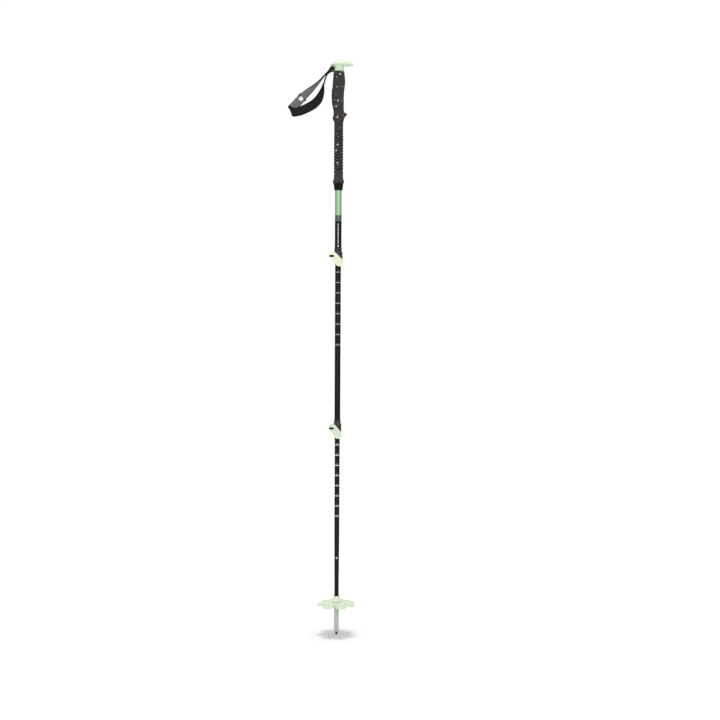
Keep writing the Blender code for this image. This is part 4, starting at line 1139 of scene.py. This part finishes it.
def basket():
    """Seven drooping petals with a bead round their edge and a shallow channel down each middle."""
    per_petal, rings = 36, 26
    count = PETALS * per_petal
    bm = bmesh.new()
    top, bottom = [], []
    for ring in range(rings + 1):
        share = 1.0 - (1.0 - ring / rings) ** 1.25
        upper, lower = [], []
        for i in range(count):
            phase = 2.0 * ((i % per_petal) / per_petal) - 1.0
            angle = math.radians(FIRST_PETAL_DEG) + math.tau * (i / count - 0.5 / PETALS)
            reach = petal_reach(phase)
            radius = BORE_R + (reach - BORE_R) * share
            rim = min(reach - radius, 30.0)
            outward = smooth_step((radius - 14.0) / 14.0)
            bead = 0.42 * math.exp(-((rim - 1.0) / 0.9) ** 2) * outward
            channel = 0.38 * math.exp(-(phase * radius / 4.2) ** 2) * outward * smooth_step((rim - 3.0) / 6.0)
            half = 0.85 + bead - channel * 0.9
            half *= math.sqrt(max(0.0, min(1.0, 0.12 + rim / 0.9)))
            middle = basket_middle(radius) - 0.25 * channel
            for line, level in ((upper, middle + half), (lower, middle - half)):
                point = (radius * math.cos(angle), radius * math.sin(angle), level)
                line.append(bm.verts.new(Vector(point) * MM))
        top.append(upper)
        bottom.append(lower)
    skin_rings(bm, top + list(reversed(bottom)), closed=True)
    petals = solid("powder_basket", bm, 60.0)
    return dress(petals, BASKET, "lower_section", "basket", slot="basket_plastic")


def basket_collar():
    low, high = span("basket_hub")
    outer = rounded([(7.0, high.z), (8.2, high.z), (8.7, 93.6), (9.2, 91.2), (10.3, 87.2), (11.4, 85.2),
                     (11.4, low.z), (10.6, low.z)], 0.9)
    hub = pipe("basket_collar", outer, [(6.7, high.z), (6.7, low.z)])
    tools = []
    for i in range(6):
        angle = math.radians(30.0 + 60.0 * i)
        reach = Vector((math.cos(angle), math.sin(angle), 0.0))
        tools.append(("DIFFERENCE", bar("flute", 1.0, reach * 11.4 + Vector((0, 0, 90.6)),
                                        reach * 10.4 + Vector((0, 0, 99.0)), 20)))
    carve(hub, tools)
    return dress(hub, HUB, "lower_section", "basket_hub", slot="basket_plastic")


def ferrule():
    """The flex tip: socket, basket seat and slim leg with a rounded foot."""
    low, high = span("tip_ferrule")
    shoulder = BASKET_Z - 1.3
    outer = rounded([(5.6, high.z), (6.4, high.z), (6.4, shoulder), (7.5, shoulder), (7.5, shoulder - 1.8),
                     (6.25, shoulder - 3.8), (5.95, 56.0), (5.5, 17.0), (5.5, 14.6), (5.75, 13.9),
                     (5.75, 11.2), (5.2, 9.6), (4.3, 8.1), (3.5, low.z), (2.3, low.z)], 0.7)
    inner = [(5.5, high.z), (5.5, 62.0), (2.3, 61.0), (2.3, low.z)]
    leg = pipe("flex_ferrule", outer, inner)
    return dress(leg, FERRULE, "lower_section", "tip_ferrule", slot="ferrule_plastic")


def carbide_point():
    """The hard point: a cone with five shallow flutes and a flat end."""
    low, high = span("carbide_tip")
    cone = lathe("carbide_point", rounded([(0, high.z), (2.0, high.z), (2.0, 7.1), (3.4, 7.1), (3.3, 5.8),
                                           (2.2, 2.4), (1.3, low.z), (0, low.z)], 0.3), 60)
    flutes = []
    for i in range(5):
        angle = math.tau * (i + 0.5) / 5
        reach = Vector((math.cos(angle), math.sin(angle), 0.0))
        flutes.append(("DIFFERENCE", bar("flute", 0.9, reach * 2.15 + Vector((0, 0, -0.6)),
                                         reach * 4.1 + Vector((0, 0, 6.2)), 24)))
    carve(cone, flutes)
    return dress(cone, CARBIDE, "lower_section", "carbide_tip", slot="carbide")


# ----------------------------------------------------------------------------------- hidden pieces

def hidden_pieces():
    """The bushes and stoppers inside keep their CAD shape and take a finished material."""
    for node in ("upper_lock_sleeve", "lower_lock_sleeve", "middle_shaft_plug", "lower_shaft_plug"):
        obj = frame["nodes"][node]
        obj.data.materials.clear()
        obj.data.materials.append(BUSH_GREY)


# -------------------------------------------------------------------------------- camera and studio

CAMERA_AWAY, CAMERA_HEIGHT, CAMERA_SIDE = 3.0, 0.89, 0.0545
CAMERA_PITCH_DEG, CAMERA_ROLL_DEG, CAMERA_LENS = 4.0, 0.34, 61.8


def camera():
    data = bpy.data.cameras.new("camera")
    data.lens = CAMERA_LENS
    data.sensor_width = 36.0
    data.clip_start, data.clip_end = 0.1, 60.0
    obj = bpy.data.objects.new("camera", data)
    bpy.context.scene.collection.objects.link(obj)
    tilt = Matrix.Rotation(math.radians(90.0 - CAMERA_PITCH_DEG), 4, "X")
    roll = Matrix.Rotation(math.radians(CAMERA_ROLL_DEG), 4, "Z")
    obj.matrix_world = Matrix.Translation((CAMERA_SIDE, -CAMERA_AWAY, CAMERA_HEIGHT)) @ tilt @ roll
    bpy.context.scene.camera = obj


def softbox(name, place, aim, size, power):
    data = bpy.data.lights.new(name, "AREA")
    data.shape = "RECTANGLE"
    data.size, data.size_y = size
    data.energy = power
    obj = bpy.data.objects.new(name, data)
    bpy.context.scene.collection.objects.link(obj)
    obj.location = place
    obj.rotation_euler = (Vector(aim) - Vector(place)).to_track_quat("-Z", "Y").to_euler()


def studio():
    """A pale floor and white surroundings, a soft strip in front, and a soft light overhead."""
    bm = bmesh.new()
    bmesh.ops.create_circle(bm, cap_ends=True, segments=96, radius=40.0)
    floor = solid("floor", bm)
    look = Look("floor_white", (0.62, 0.62, 0.62), 0.8, Specular_IOR_Level=0.1)
    look.feed("Base Color", look.mix(look.noise(1.2, 2.0), (0.615, 0.615, 0.615), (0.63, 0.63, 0.63)))
    floor.data.materials.append(look.material)
    world = bpy.data.worlds.new("studio")
    world.use_nodes = True
    background = world.node_tree.nodes["Background"]
    background.inputs["Color"].default_value = (1.0, 1.0, 1.0, 1.0)
    background.inputs["Strength"].default_value = 1.02
    bpy.context.scene.world = world
    softbox("front_strip", (0.0, -3.2, 1.2), (0, 0, 0.75), (0.55, 2.0), 26.0)
    data = bpy.data.lights.new("overhead", "SUN")
    data.energy = 1.9
    data.angle = math.radians(20.0)
    overhead = bpy.data.objects.new("overhead", data)
    bpy.context.scene.collection.objects.link(overhead)
    bpy.context.scene.view_settings.view_transform = "Standard"


def make_all():
    palm_cap()
    foam_grip()
    ribbed_sleeve()
    sleeve_badge()
    end_cone()
    shafts()
    shaft_print()
    length_numbers("middle", MIDDLE_MARKS, FAINT_INK)
    length_numbers("lower", LOWER_MARKS, INK)
    plain_mark()
    for lock in LOCKS:
        collar(lock)
        lever(lock)
        lock_hardware(lock)
    webbing()
    pad()
    slider()
    anchor()
    basket()
    basket_collar()
    ferrule()
    carbide_point()
    hidden_pieces()
    camera()
    studio()


make_all()
